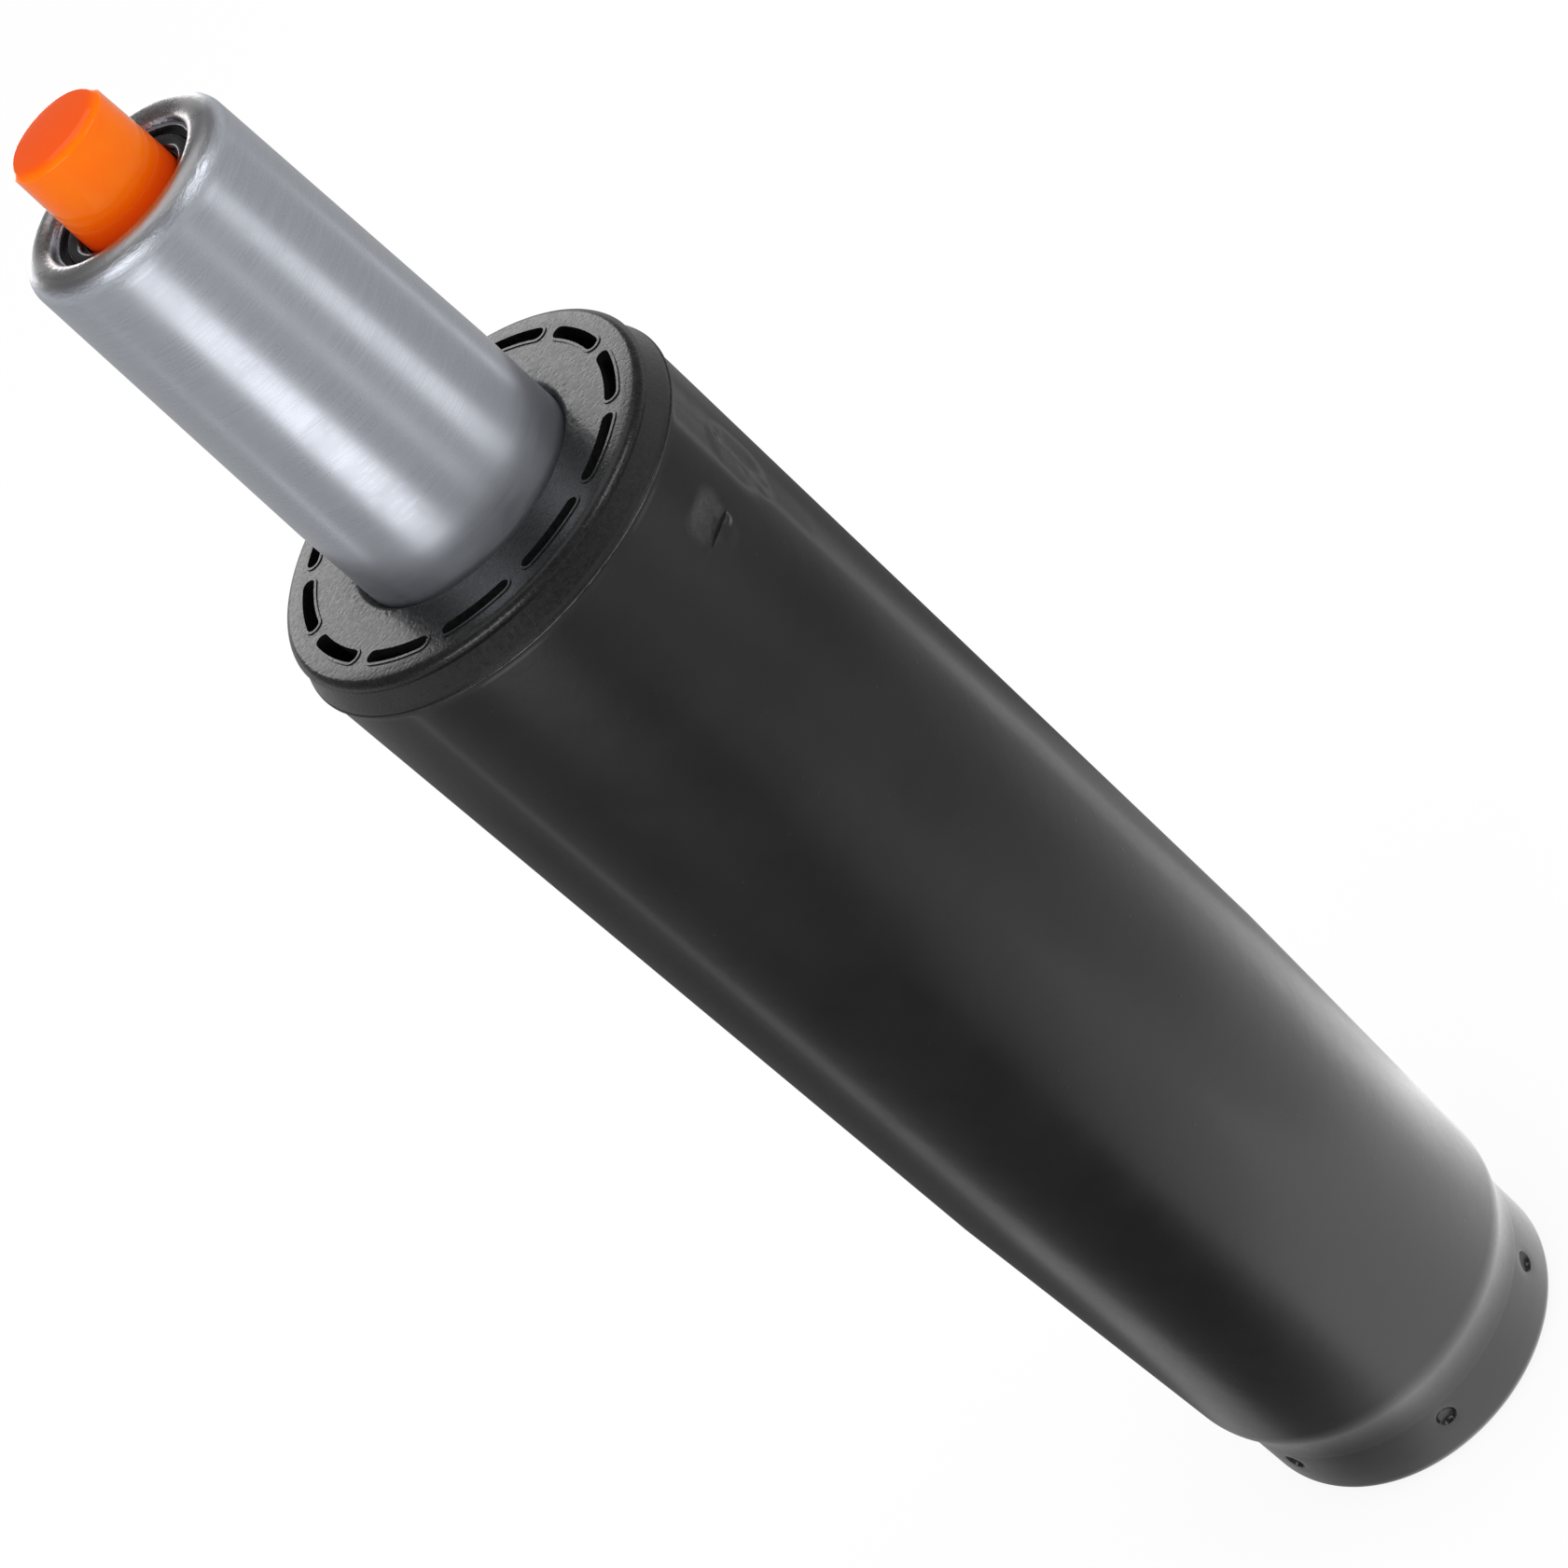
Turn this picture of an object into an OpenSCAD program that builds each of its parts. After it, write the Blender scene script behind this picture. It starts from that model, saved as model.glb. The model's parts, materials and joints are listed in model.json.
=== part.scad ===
// Gas lift cylinder of an office chair, at its lowest height.
// The foot of the standing tube rests on z = 0 and the release button points up.

/* [Standing tube] */
// Outside diameter of the standing tube
tube_d = 50; // [47:0.5:56]
// Wall thickness of the standing tube
tube_wall = 1.5; // [1.2:0.1:1.8]
// Height of the standing tube, from its rolled lip to its open end
tube_h = 176; // [170:1:240]
// Height at which the tube starts to taper towards the foot
taper_h = 66; // [50:1:80]
// Half angle of the foot's taper, in degrees
taper_deg = 1.4377; // [1.2:0.0001:1.7]
// Height at which the taper turns into the shoulder
shoulder_h = 18; // [16:0.5:24]
// How far the shoulder steps in to the foot ring
shoulder_in = 1.85; // [1.2:0.05:2.4]
// Radius of the shoulder's round edge
shoulder_r = 8.4; // [6:0.2:10]
// Radius of the hollow between the shoulder and the foot ring
neck_r = 3.6; // [2:0.2:5]
// Radius of the foot ring's lower edge
foot_edge_r = 2.1; // [1.9:0.1:3]
// Width of the rolled lip that carries the bottom plate
lip_w = 5; // [4:0.5:7]

/* [Crimps and punch marks] */
// Depth of each mark pressed into the standing tube
mark_depth = 0.8; // [0.4:0.1:1.1]
// Width of the lanced crimp at the top of the tube
lance_w = 4.9; // [3:0.1:6]
// Distance of the lanced crimp's centre below the tube's open end
lance_drop = 9.4; // [7:0.2:14]
// Distance of the lance cut below the tube's open end
lance_cut_drop = 10.3; // [8:0.1:15]
// Angle of the lanced crimp round the tube
lance_deg = -52.8; // [-90:0.1:0]
// Width of the round crimp beside it
crimp_w = 5.8; // [4:0.1:7]
// Distance of the round crimp's centre below the tube's open end
crimp_drop = 10.6; // [8:0.2:16]
// Angle of the round crimp round the tube
crimp_deg = -27; // [-45:0.5:0]
// Diameter of the punch marks in the foot ring
punch_d = 2.5; // [1.5:0.1:3]
// Height of the punch marks
punch_h = 6.9; // [6.5:0.1:8]
// Number of punch marks
punch_count = 6; // [3:1:12]
// Angle of the first punch mark
punch_deg = 20; // [0:1:59]

/* [Guide bushing] */
// How far the flange's lower edge stands out past the standing tube
flange_lip = 0.35; // [0.1:0.05:1]
// How far the flange's side leans in, from its lower edge to its edge round
flange_lean = 1.05; // [0.5:0.05:1.5]
// Width of the flange's edge round
flange_edge_w = 0.8; // [0.4:0.1:1.2]
// Height of the flange's edge round
flange_edge_h = 1.5; // [0.8:0.1:2]
// Thickness of the flange above the standing tube
flange_t = 4.4; // [3:0.1:6]
// Length of the sleeve inside the standing tube
sleeve_l = 90; // [70:1:100]
// Wall of the sleeve round the pressure tube
sleeve_wall = 2.6; // [2:0.1:3.2]
// Lead-in round the hole in the flange
lead_in = 0.8; // [0.4:0.1:1.4]
// Number of slots in the flange
slot_count = 12; // [8:1:12]
// Distance of the slots' middle inside the standing tube's outer face
slot_in = 4.2; // [3.6:0.1:5]
// Width of the slots
slot_w = 1.6; // [1.2:0.1:2]
// Width of the slots' round ends
slot_end_d = 1.5; // [1:0.1:1.9]
// Angle that each slot spans
slot_span = 20; // [12:1:22]
// Angle of the first slot
slot_deg = 9; // [0:1:29]
// Depth of solid plastic above the sleeve's hollows
slot_cap = 4; // [3:0.5:8]
// Angle of the ribs between the sleeve's hollows
rib_deg = 4; // [3:0.5:5]
// Distance from the slots to the hollows' outer wall
hollow_step = 0.4; // [0.3:0.1:0.6]

/* [Bottom plate] */
// Thickness of the bottom plate
plate_t = 3; // [2:0.1:3.2]
// How far the plate's middle is raised above its rim
plate_raise = 3.7; // [3.5:0.1:4.5]
// Radius of the plate's raised middle
plate_mid_r = 12; // [11.5:0.1:13]
// Width of the slope between the rim and the middle
plate_slope = 2.5; // [1.5:0.1:3.5]

/* [Thrust bearing] */
// Radius of the ring of balls
race_r = 8; // [7.8:0.1:8.4]
// Width of the bearing rings
race_w = 5.8; // [5:0.1:6]
// Thickness of the bearing rings
race_t = 1.5; // [1.3:0.1:2.5]
// Diameter of a ball
ball_d = 4; // [3.6:0.1:4.4]
// Number of balls
ball_count = 10; // [8:1:10]
// Depth of the ball groove in each ring
groove_depth = 0.5; // [0.3:0.1:0.7]
// Thickness of the ball cage
cage_t = 1.8; // [1.2:0.1:2.2]
// Width of the ball cage
cage_w = 5.2; // [4.8:0.1:5.4]
// Height of the rubber bumper
bumper_h = 11.8; // [8:0.2:16]
// Outside diameter of the rubber bumper
bumper_d = 22; // [18:0.5:24]
// Depth of the bumper's waist
bumper_waist = 1.5; // [0.5:0.1:2]

/* [Rod and piston] */
// Diameter of the piston rod
rod_d = 10; // [9:0.5:11]
// Diameter of the rod's foot, which passes through the bearing
rod_foot_d = 8; // [6.8:0.1:8.4]
// Diameter of the rod's head, which carries the piston
rod_head_d = 7; // [6:0.1:8]
// Height travel of the seat
stroke = 100; // [60:5:115]
// Gap between the piston and the rod guide when the chair is highest
piston_stop = 0.5; // [0.3:0.1:2]
// Height of the piston
piston_h = 10; // [8:0.5:14]
// Thickness of the piston washers
piston_washer_t = 1.5; // [1:0.1:2.5]
// Diameter of the piston washers
piston_washer_d = 17; // [14:0.5:18]
// Thickness of the piston's rubber ring
piston_ring_d = 2; // [1.6:0.1:2.4]
// Height of the piston nut
nut_h = 5; // [4:0.5:6]
// Width across the corners of the piston nut
nut_d = 13; // [11:0.5:16]
// Thickness of the washer under the bottom plate
clip_washer_t = 1; // [0.8:0.1:1.2]
// Diameter of the washer under the bottom plate
clip_washer_d = 16; // [13:0.5:18]
// Thickness of the retaining clip
clip_t = 1.2; // [0.8:0.1:1.3]
// Outside diameter of the retaining clip
clip_d = 14; // [11:0.5:16]
// Width of the retaining clip's mouth
clip_mouth = 5.2; // [4:0.1:5.6]
// Depth of the clip's groove in the rod
clip_groove = 0.8; // [0.5:0.1:1.2]
// Length of the rod below the clip
rod_tip = 1.5; // [1:0.1:1.8]
// Length of the rod above the piston nut
head_tip = 1; // [0.5:0.1:3]

/* [Pressure tube] */
// Outside diameter of the pressure tube
press_d = 28; // [27:0.5:29]
// Wall thickness of the pressure tube
press_wall = 1.8; // [1.5:0.1:2]
// Height of the pressure tube above the flange when the chair is lowest
stand_out = 50.6; // [45:0.2:60]
// Straight part of that height, below the seat cone
straight_out = 10.4; // [6:0.2:20]
// Half angle of the seat cone, in degrees
seat_deg = 1.4377; // [1.2:0.0001:1.7]
// Radius of the rim's outer edge
rim_edge_r = 2.4; // [2:0.1:3]
// Radius at which the rim's mouth starts to narrow
mouth_r = 10.4; // [9.8:0.1:10.6]
// Radius of the mouth
mouth_hole_r = 8.8; // [8:0.1:9.4]
// Depth of the mouth's funnel
mouth_depth = 1.6; // [1:0.1:2]
// Thickness of the rolled-in rim
rim_t = 2.6; // [2.4:0.1:3]
// Radius of the hole in the rolled-in lower end
end_hole_r = 9; // [7:0.2:10]
// Outside diameter of the inner tube
inner_d = 22; // [21:0.2:22.4]
// Wall thickness of the inner tube
inner_wall = 1; // [0.8:0.1:1.2]
// Thickness of the end cap
end_cap_t = 2; // [1.5:0.1:3]
// Height of the rod seal
seal_h = 6; // [4:0.5:8]
// Thickness of the rod seal's lips
seal_lip = 1.2; // [0.8:0.1:1.4]
// Thickness of the washer behind the seal
seal_washer_t = 1.5; // [1:0.1:2]
// Height of the rod guide's wide part
guide_h = 8; // [6:0.5:12]
// Height of the rod guide's spigot in the inner tube
guide_spigot_h = 6; // [4:0.5:8]
// Number of gas channels in the rod guide
channel_count = 4; // [3:1:6]
// Diameter of the gas channels
channel_d = 2; // [1.4:0.1:2.2]

/* [Valve and button] */
// Height of the valve body
valve_h = 27; // [25:0.5:30]
// Height of the valve body's spigot in the inner tube
valve_spigot_h = 6; // [5:0.5:7]
// Depth of the button's well in the valve body
well_depth = 12; // [11:0.1:12.5]
// Diameter of the release button
button_d = 12.3; // [11:0.1:13]
// Height of the button above the rim
button_out = 8.9; // [6:0.1:12]
// Radius of the button's upper edge
button_edge_r = 1; // [0.6:0.1:2]
// Crown of the button's end face
button_crown = 0.3; // [0.2:0.1:0.6]
// Travel of the button
button_travel = 3.5; // [2:0.1:4]
// Depth of the pin's hole in the button
pin_grip = 4; // [3:0.5:8]
// Diameter of the valve pin
pin_d = 4; // [3.4:0.1:4.4]
// Diameter of the valve pin's head
pin_head_d = 7.2; // [6.4:0.1:8]
// Height of the valve pin's head
pin_head_h = 2.2; // [1.5:0.1:2.5]
// Diameter of the valve seat ring
seat_ring_d = 11; // [9.5:0.1:12]
// Height of the valve seat ring
seat_ring_h = 2; // [1.5:0.1:2.2]
// Thickness of the rubber rings in the valve
valve_ring_d = 1.8; // [1.4:0.1:2]
// Gap for the gas round the lower half of the valve body
gas_gap = 0.5; // [0.3:0.1:0.8]
// Diameter of the gas port in the valve body
port_d = 1.6; // [1:0.1:1.8]
// Wall between the button's well and the pin's seal
gland_wall = 1.6; // [1:0.1:2]
// Wall above and below the gas chamber in the valve body
chamber_wall = 0.8; // [0.6:0.1:1]
// Play round the valve pin in the gas chamber
chamber_play = 1.4; // [1:0.1:1.8]
// Height of the valve body's rubber ring above the button's well
body_ring_rise = 2; // [1.5:0.1:4]
// Gap under the button when it is pressed
press_gap = 0.5; // [0.3:0.1:1]

/* [Fits] */
// Radial play between a piece that slides or turns and its bore
run_fit = 0.05; // [0.02:0.01:0.1]
// Radial play between pieces pressed or laid into each other
lay_fit = 0.1; // [0.05:0.01:0.15]
// Gap kept between faces that pass each other
pass_gap = 0.2; // [0.15:0.05:0.3]
// Gap between the bumper and the pressure tube when the chair is lowest
stop_gap = 0.3; // [0.2:0.1:1]

/* [Hidden] */
$fn = 96;

// Pieces of a drawn round edge
arc_steps = 10;
// Overshoot of a cutting shape
over = 1;
// Small bevel on turned and moulded edges
bevel = 0.4;

// Foot of the standing tube
tube_r = tube_d / 2;
taper_end_r = tube_r - tan(taper_deg) * (taper_h - shoulder_h);
ring_r = taper_end_r - shoulder_in;
shoulder_deg = acos(1 - shoulder_in / (shoulder_r + neck_r));
neck_z = shoulder_h - (shoulder_r + neck_r) * sin(shoulder_deg);

// Bottom plate, clip and bearing, from the lip upwards
plate_z = tube_wall;
plate_under = plate_z + plate_raise;
plate_top = plate_under + plate_t;
washer_z = plate_under - pass_gap - clip_washer_t;
clip_z = washer_z - clip_t - run_fit;
rod_z = clip_z - rod_tip;
ball_r = ball_d / 2;
groove_r = ball_r + lay_fit;
ball_z = plate_top + race_t - groove_depth + groove_r;
upper_race_z = ball_z + groove_r - groove_depth;
rod_step_z = upper_race_z + race_t;
bumper_top = rod_step_z + bumper_h;

// Pressure tube and what stands in its lower end
flange_top = tube_h + flange_t;
press_z = bumper_top + stop_gap;
press_top = flange_top + stand_out;
cone_z = flange_top + straight_out;
cap_z = press_z + press_wall;
seal_z = cap_z + end_cap_t;
seal_washer_z = seal_z + seal_h;
guide_z = seal_washer_z + seal_washer_t;
guide_step_z = guide_z + guide_h;
guide_top = guide_step_z + guide_spigot_h;
bore_r = press_d / 2 - press_wall;
cylinder_r = inner_d / 2 - inner_wall;

// Piston on the rod's head
lower_washer_z = guide_top + stroke + piston_stop;
piston_z = lower_washer_z + piston_washer_t;
upper_washer_z = piston_z + piston_h;
nut_z = upper_washer_z + piston_washer_t;
rod_top = nut_z + nut_h + head_tip;

// Valve and button, from the rim downwards
valve_top = press_top - rim_t;
valve_z = valve_top - valve_h;
valve_step_z = valve_z + valve_spigot_h;
well_z = valve_top - well_depth;
button_z = well_z + button_travel + press_gap;
button_top = press_top + button_out;
seat_z = valve_z + pin_head_h;
pin_z = seat_z - pin_head_h - run_fit;
gland_h = valve_ring_d + 2 * lay_fit;
gland_z = well_z - gland_wall - gland_h;
chamber_z = valve_step_z + chamber_wall;
chamber_h = gland_z - chamber_wall - chamber_z;
chamber_r = pin_d / 2 + chamber_play;
body_ring_z = well_z + body_ring_rise;

// Outer radius of the pressure tube at height z, without its rolled ends
function press_out(z) = press_d / 2 - tan(seat_deg) * max(0, z - cone_z);

// Radius of the pressure tube's bore at height z
function press_in(z) = press_out(z) - press_wall;

// Points of an arc round c, from angle a to angle b
function arc(c, r, a, b) =
    [for (i = [0 : arc_steps]) let (t = a + (b - a) * i / arc_steps) c + r * [cos(t), sin(t)]];

// The list v from its end to its start
function reversed(v) = [for (i = [len(v) - 1 : -1 : 0]) v[i]];

// One side of the standing tube's wall, at depth t below its outer face, from the top to the lip
function tube_side(t) = concat(
    [[tube_r - t, tube_h], [tube_r - t, taper_h]],
    arc([taper_end_r - shoulder_r, shoulder_h], shoulder_r - t, 0, -shoulder_deg),
    arc([ring_r + neck_r, neck_z], neck_r + t, 180 - shoulder_deg, 180),
    arc([ring_r - foot_edge_r, foot_edge_r], foot_edge_r - t, 0, -90),
    [[ring_r - lip_w, t]]
);

// A ring with a straight bore and small bevels on all edges
module bevelled_ring(inner_r, outer_r, z, h, b = bevel) {
    rotate_extrude()
        polygon([
            [inner_r + b, z], [outer_r - b, z], [outer_r, z + b], [outer_r, z + h - b],
            [outer_r - b, z + h], [inner_r + b, z + h], [inner_r, z + h - b], [inner_r, z + b]
        ]);
}

// A rubber ring of round section
module round_ring(mid_r, section_d, z) {
    translate([0, 0, z])
        rotate_extrude()
            translate([mid_r, 0])
                circle(d = section_d);
}

// The children, moved out to radius r at angle deg and height z
module at(deg, r, z) {
    rotate([0, 0, deg])
        translate([r, 0, z])
            children();
}

// Radius of the ball that leaves a mark of width w
function mark_ball(w) = (pow(w / 2, 2) + pow(mark_depth, 2)) / (2 * mark_depth);

// The ball of a mark of width w in a wall of outer radius r, made larger by grow
module mark(deg, r, z, w, grow = 0) {
    at(deg, r + mark_ball(w) - mark_depth, z)
        sphere(r = mark_ball(w) + grow);
}

// The lanced crimps and the round crimps, as balls made larger by grow
module crimp_balls(grow = 0) {
    for (side = [0, 180]) {
        difference() {
            mark(lance_deg + side, tube_r, tube_h - lance_drop, lance_w, grow);
            translate([0, 0, tube_h - lance_cut_drop - grow - tube_d])
                cylinder(r = tube_d, h = tube_d);
        }
        mark(crimp_deg + side, tube_r, tube_h - crimp_drop, crimp_w, grow);
    }
}

// The punch marks of the foot ring, as balls made larger by grow
module punch_balls(grow = 0) {
    for (i = [0 : punch_count - 1])
        mark(punch_deg + i * 360 / punch_count, ring_r, punch_h, punch_d, grow);
}

// A sector of a ring of radius r and width w, centred on angle deg
module sector(r, w, span, deg, z, h) {
    rotate([0, 0, deg - span / 2])
        rotate_extrude(angle = span)
            translate([r - w / 2, z])
                square([w, h]);
}

// A slot along an arc, with round ends a little narrower than the slot
module arc_slot(r, w, end_d, span, deg, z, h) {
    sector(r, w, span, deg, z, h);
    for (end = [-1, 1])
        at(deg + end * span / 2, r, z)
            cylinder(d = end_d, h = h);
}

module outer_tube() {
    color("#262627")
        difference() {
            union() {
                rotate_extrude()
                    polygon(concat(tube_side(0), reversed(tube_side(tube_wall))));
                intersection() {
                    crimp_balls(tube_wall);
                    cylinder(r = tube_r - tube_wall / 2, h = tube_h);
                }
                intersection() {
                    punch_balls(tube_wall);
                    cylinder(r = ring_r - tube_wall / 2, h = shoulder_h);
                }
            }
            crimp_balls();
            punch_balls();
        }
}

module guide_bushing() {
    hole_r = press_d / 2 + run_fit;
    sleeve_r = tube_r - tube_wall - lay_fit;
    sleeve_z = tube_h - sleeve_l;
    hollow_z = tube_h - slot_cap;
    flange_r = tube_r + flange_lip;
    slot_r = tube_r - slot_in;
    slot_z = hollow_z - over;
    hollow_in = hole_r + sleeve_wall;
    hollow_out = slot_r + slot_w / 2 + hollow_step;
    color("#1d1d1e")
        difference() {
            rotate_extrude()
                polygon([
                    [hole_r, sleeve_z + lead_in], [hole_r + lead_in, sleeve_z], [sleeve_r - lead_in, sleeve_z],
                    [sleeve_r, sleeve_z + lead_in], [sleeve_r, tube_h], [flange_r, tube_h],
                    [flange_r - flange_lean, flange_top - flange_edge_h],
                    [flange_r - flange_lean - flange_edge_w, flange_top],
                    [hole_r + lead_in, flange_top], [hole_r, flange_top - lead_in]
                ]);
            for (i = [0 : slot_count - 1]) {
                deg = slot_deg + i * 360 / slot_count;
                arc_slot(slot_r, slot_w, slot_end_d, slot_span, deg, slot_z, flange_top - slot_z + over);
                sector((hollow_in + hollow_out) / 2, hollow_out - hollow_in, 360 / slot_count - rib_deg,
                       deg, sleeve_z - over, hollow_z - sleeve_z + over);
            }
            crimp_balls(tube_wall + lay_fit);
        }
}

module bottom_plate() {
    rim_r = ring_r - tube_wall - lay_fit;
    hole_r = rod_foot_d / 2 + lay_fit;
    mid_r = plate_mid_r;
    corner = foot_edge_r - tube_wall + lay_fit;
    color("#8a8c90")
        rotate_extrude()
            polygon([
                [rim_r - corner, plate_z], [rim_r, plate_z + corner], [rim_r, plate_z + plate_t],
                [mid_r + plate_slope, plate_z + plate_t], [mid_r, plate_top], [hole_r, plate_top],
                [hole_r, plate_under], [mid_r - plate_slope / 3, plate_under],
                [mid_r + plate_slope * 2 / 3, plate_z]
            ]);
}

// One ring of the thrust bearing, with its ball groove
module race(inner_r, z) {
    difference() {
        bevelled_ring(inner_r, race_r + race_w / 2, z, race_t, bevel / 2);
        round_ring(race_r, 2 * groove_r, ball_z);
    }
}

module lower_race() {
    color("#b9bcc0")
        race(race_r - race_w / 2, plate_top);
}

module upper_race() {
    color("#b9bcc0")
        race(rod_foot_d / 2 + run_fit, upper_race_z);
}

module bearing_cage() {
    color("#d8c9a0")
        difference() {
            bevelled_ring(race_r - cage_w / 2, race_r + cage_w / 2, ball_z - cage_t / 2, cage_t, bevel / 2);
            for (i = [0 : ball_count - 1])
                at(i * 360 / ball_count, race_r, ball_z - cage_t)
                    cylinder(r = groove_r, h = 2 * cage_t);
        }
}

module bearing_balls() {
    color("#d2d4d8")
        for (i = [0 : ball_count - 1])
            at(i * 360 / ball_count, race_r, ball_z)
                sphere(d = ball_d);
}

module bumper() {
    hole_r = rod_d / 2 + pass_gap;
    outer_r = bumper_d / 2;
    color("#2b2a28")
        rotate_extrude()
            polygon([
                [hole_r, rod_step_z + bevel], [hole_r + bevel, rod_step_z], [outer_r - bevel, rod_step_z],
                [outer_r, rod_step_z + bevel], [outer_r, rod_step_z + bumper_h / 4],
                [outer_r - bumper_waist, rod_step_z + bumper_h / 2], [outer_r, rod_step_z + bumper_h * 3 / 4],
                [outer_r, bumper_top - bevel], [outer_r - bevel, bumper_top], [hole_r + bevel, bumper_top],
                [hole_r, bumper_top - bevel]
            ]);
}

module piston_rod() {
    foot_r = rod_foot_d / 2;
    head_r = rod_head_d / 2;
    color("#dfe2e6")
        rotate_extrude()
            polygon([
                [0, rod_z], [foot_r - bevel, rod_z], [foot_r, rod_z + bevel], [foot_r, clip_z - run_fit],
                [foot_r - clip_groove, clip_z - run_fit], [foot_r - clip_groove, washer_z],
                [foot_r, washer_z], [foot_r, rod_step_z], [rod_d / 2, rod_step_z],
                [rod_d / 2, lower_washer_z], [head_r, lower_washer_z], [head_r, rod_top - bevel],
                [head_r - bevel, rod_top], [0, rod_top]
            ]);
}

module clip_washer() {
    color("#a9acb0")
        bevelled_ring(rod_foot_d / 2 + run_fit, clip_washer_d / 2, washer_z, clip_washer_t, bevel / 2);
}

module retaining_clip() {
    grip_r = rod_foot_d / 2 - clip_groove + run_fit;
    color("#5c5e62")
        difference() {
            bevelled_ring(grip_r, clip_d / 2, clip_z, clip_t, bevel / 2);
            translate([0, -clip_mouth / 2, clip_z - over])
                cube([clip_d, clip_mouth, clip_t + 2 * over]);
        }
}

module lower_piston_washer() {
    color("#a9acb0")
        bevelled_ring(rod_head_d / 2 + run_fit, piston_washer_d / 2, lower_washer_z, piston_washer_t);
}

module piston() {
    color("#9da1a6")
        difference() {
            bevelled_ring(rod_head_d / 2 + run_fit, cylinder_r - lay_fit, piston_z, piston_h);
            bevelled_ring(cylinder_r - lay_fit - piston_ring_d, cylinder_r + over,
                          piston_z + piston_h / 2 - piston_ring_d / 2 - lay_fit,
                          piston_ring_d + 2 * lay_fit, 0);
        }
}

module piston_ring() {
    color("#1a1a1a")
        round_ring(cylinder_r - run_fit - piston_ring_d / 2, piston_ring_d, piston_z + piston_h / 2);
}

module upper_piston_washer() {
    color("#a9acb0")
        bevelled_ring(rod_head_d / 2 + run_fit, piston_washer_d / 2, upper_washer_z, piston_washer_t);
}

module piston_nut() {
    color("#c4a862")
        translate([0, 0, nut_z])
            difference() {
                cylinder(d = nut_d, h = nut_h, $fn = 6);
                translate([0, 0, -over])
                    cylinder(r = rod_head_d / 2 + run_fit, h = nut_h + 2 * over);
            }
}

module pressure_tube() {
    edge_z = press_top - rim_edge_r;
    edge_r = press_out(edge_z);
    foot_r = press_d / 2;
    lid_z = press_top - rim_t;
    color("#9fa5ad")
        rotate_extrude()
            polygon(concat(
                [[end_hole_r, press_z]],
                arc([foot_r - rim_edge_r, press_z + rim_edge_r], rim_edge_r, -90, 0),
                [[foot_r, cone_z]],
                arc([edge_r - rim_edge_r, edge_z], rim_edge_r, 0, 90),
                [
                    [mouth_r, press_top], [mouth_hole_r, press_top - mouth_depth], [mouth_hole_r, lid_z],
                    [press_in(lid_z), lid_z], [bore_r, cone_z], [bore_r, cap_z], [end_hole_r, cap_z]
                ]
            ));
}

module inner_tube() {
    color("#c3c7cc")
        bevelled_ring(cylinder_r, inner_d / 2, guide_step_z, valve_step_z - guide_step_z, inner_wall / 4);
}

module end_cap() {
    color("#8a8c90")
        bevelled_ring(rod_d / 2 + pass_gap, bore_r - lay_fit, cap_z, end_cap_t);
}

module rod_seal() {
    hole_r = rod_d / 2 + run_fit;
    outer_r = bore_r - lay_fit;
    color("#22211f")
        rotate_extrude()
            polygon([
                [hole_r + seal_lip, seal_z], [outer_r, seal_z], [outer_r, seal_washer_z],
                [outer_r - seal_lip, seal_washer_z], [outer_r - 2 * seal_lip, seal_washer_z - seal_h / 3],
                [hole_r + 2 * seal_lip, seal_washer_z - seal_h / 3], [hole_r + seal_lip, seal_washer_z],
                [hole_r + seal_lip / 2, seal_washer_z], [hole_r, seal_washer_z - seal_lip],
                [hole_r, seal_z + seal_lip]
            ]);
}

module seal_washer() {
    color("#a9acb0")
        bevelled_ring(rod_d / 2 + pass_gap, bore_r - lay_fit, seal_washer_z, seal_washer_t);
}

module rod_guide() {
    hole_r = rod_d / 2 + run_fit;
    spigot_r = cylinder_r - lay_fit;
    color("#7f868c")
        difference() {
            rotate_extrude()
                polygon([
                    [hole_r, guide_z + bevel], [hole_r + bevel, guide_z], [bore_r - lay_fit - bevel, guide_z],
                    [bore_r - lay_fit, guide_z + bevel], [bore_r - lay_fit, guide_step_z],
                    [spigot_r, guide_step_z], [spigot_r, guide_top - bevel], [spigot_r - bevel, guide_top],
                    [hole_r + bevel, guide_top], [hole_r, guide_top - bevel]
                ]);
            for (i = [0 : channel_count - 1])
                rotate([0, 0, i * 360 / channel_count]) {
                    translate([bore_r, 0, guide_step_z - guide_h / 2])
                        cylinder(d = channel_d, h = guide_h);
                    translate([(hole_r + spigot_r) / 2, 0, guide_step_z - guide_h / 2])
                        cylinder(d = channel_d, h = guide_h + guide_spigot_h);
                    translate([(hole_r + spigot_r) / 2, 0, guide_step_z - guide_h / 2])
                        rotate([0, 90, 0])
                            cylinder(d = channel_d, h = bore_r);
                }
        }
}

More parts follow.
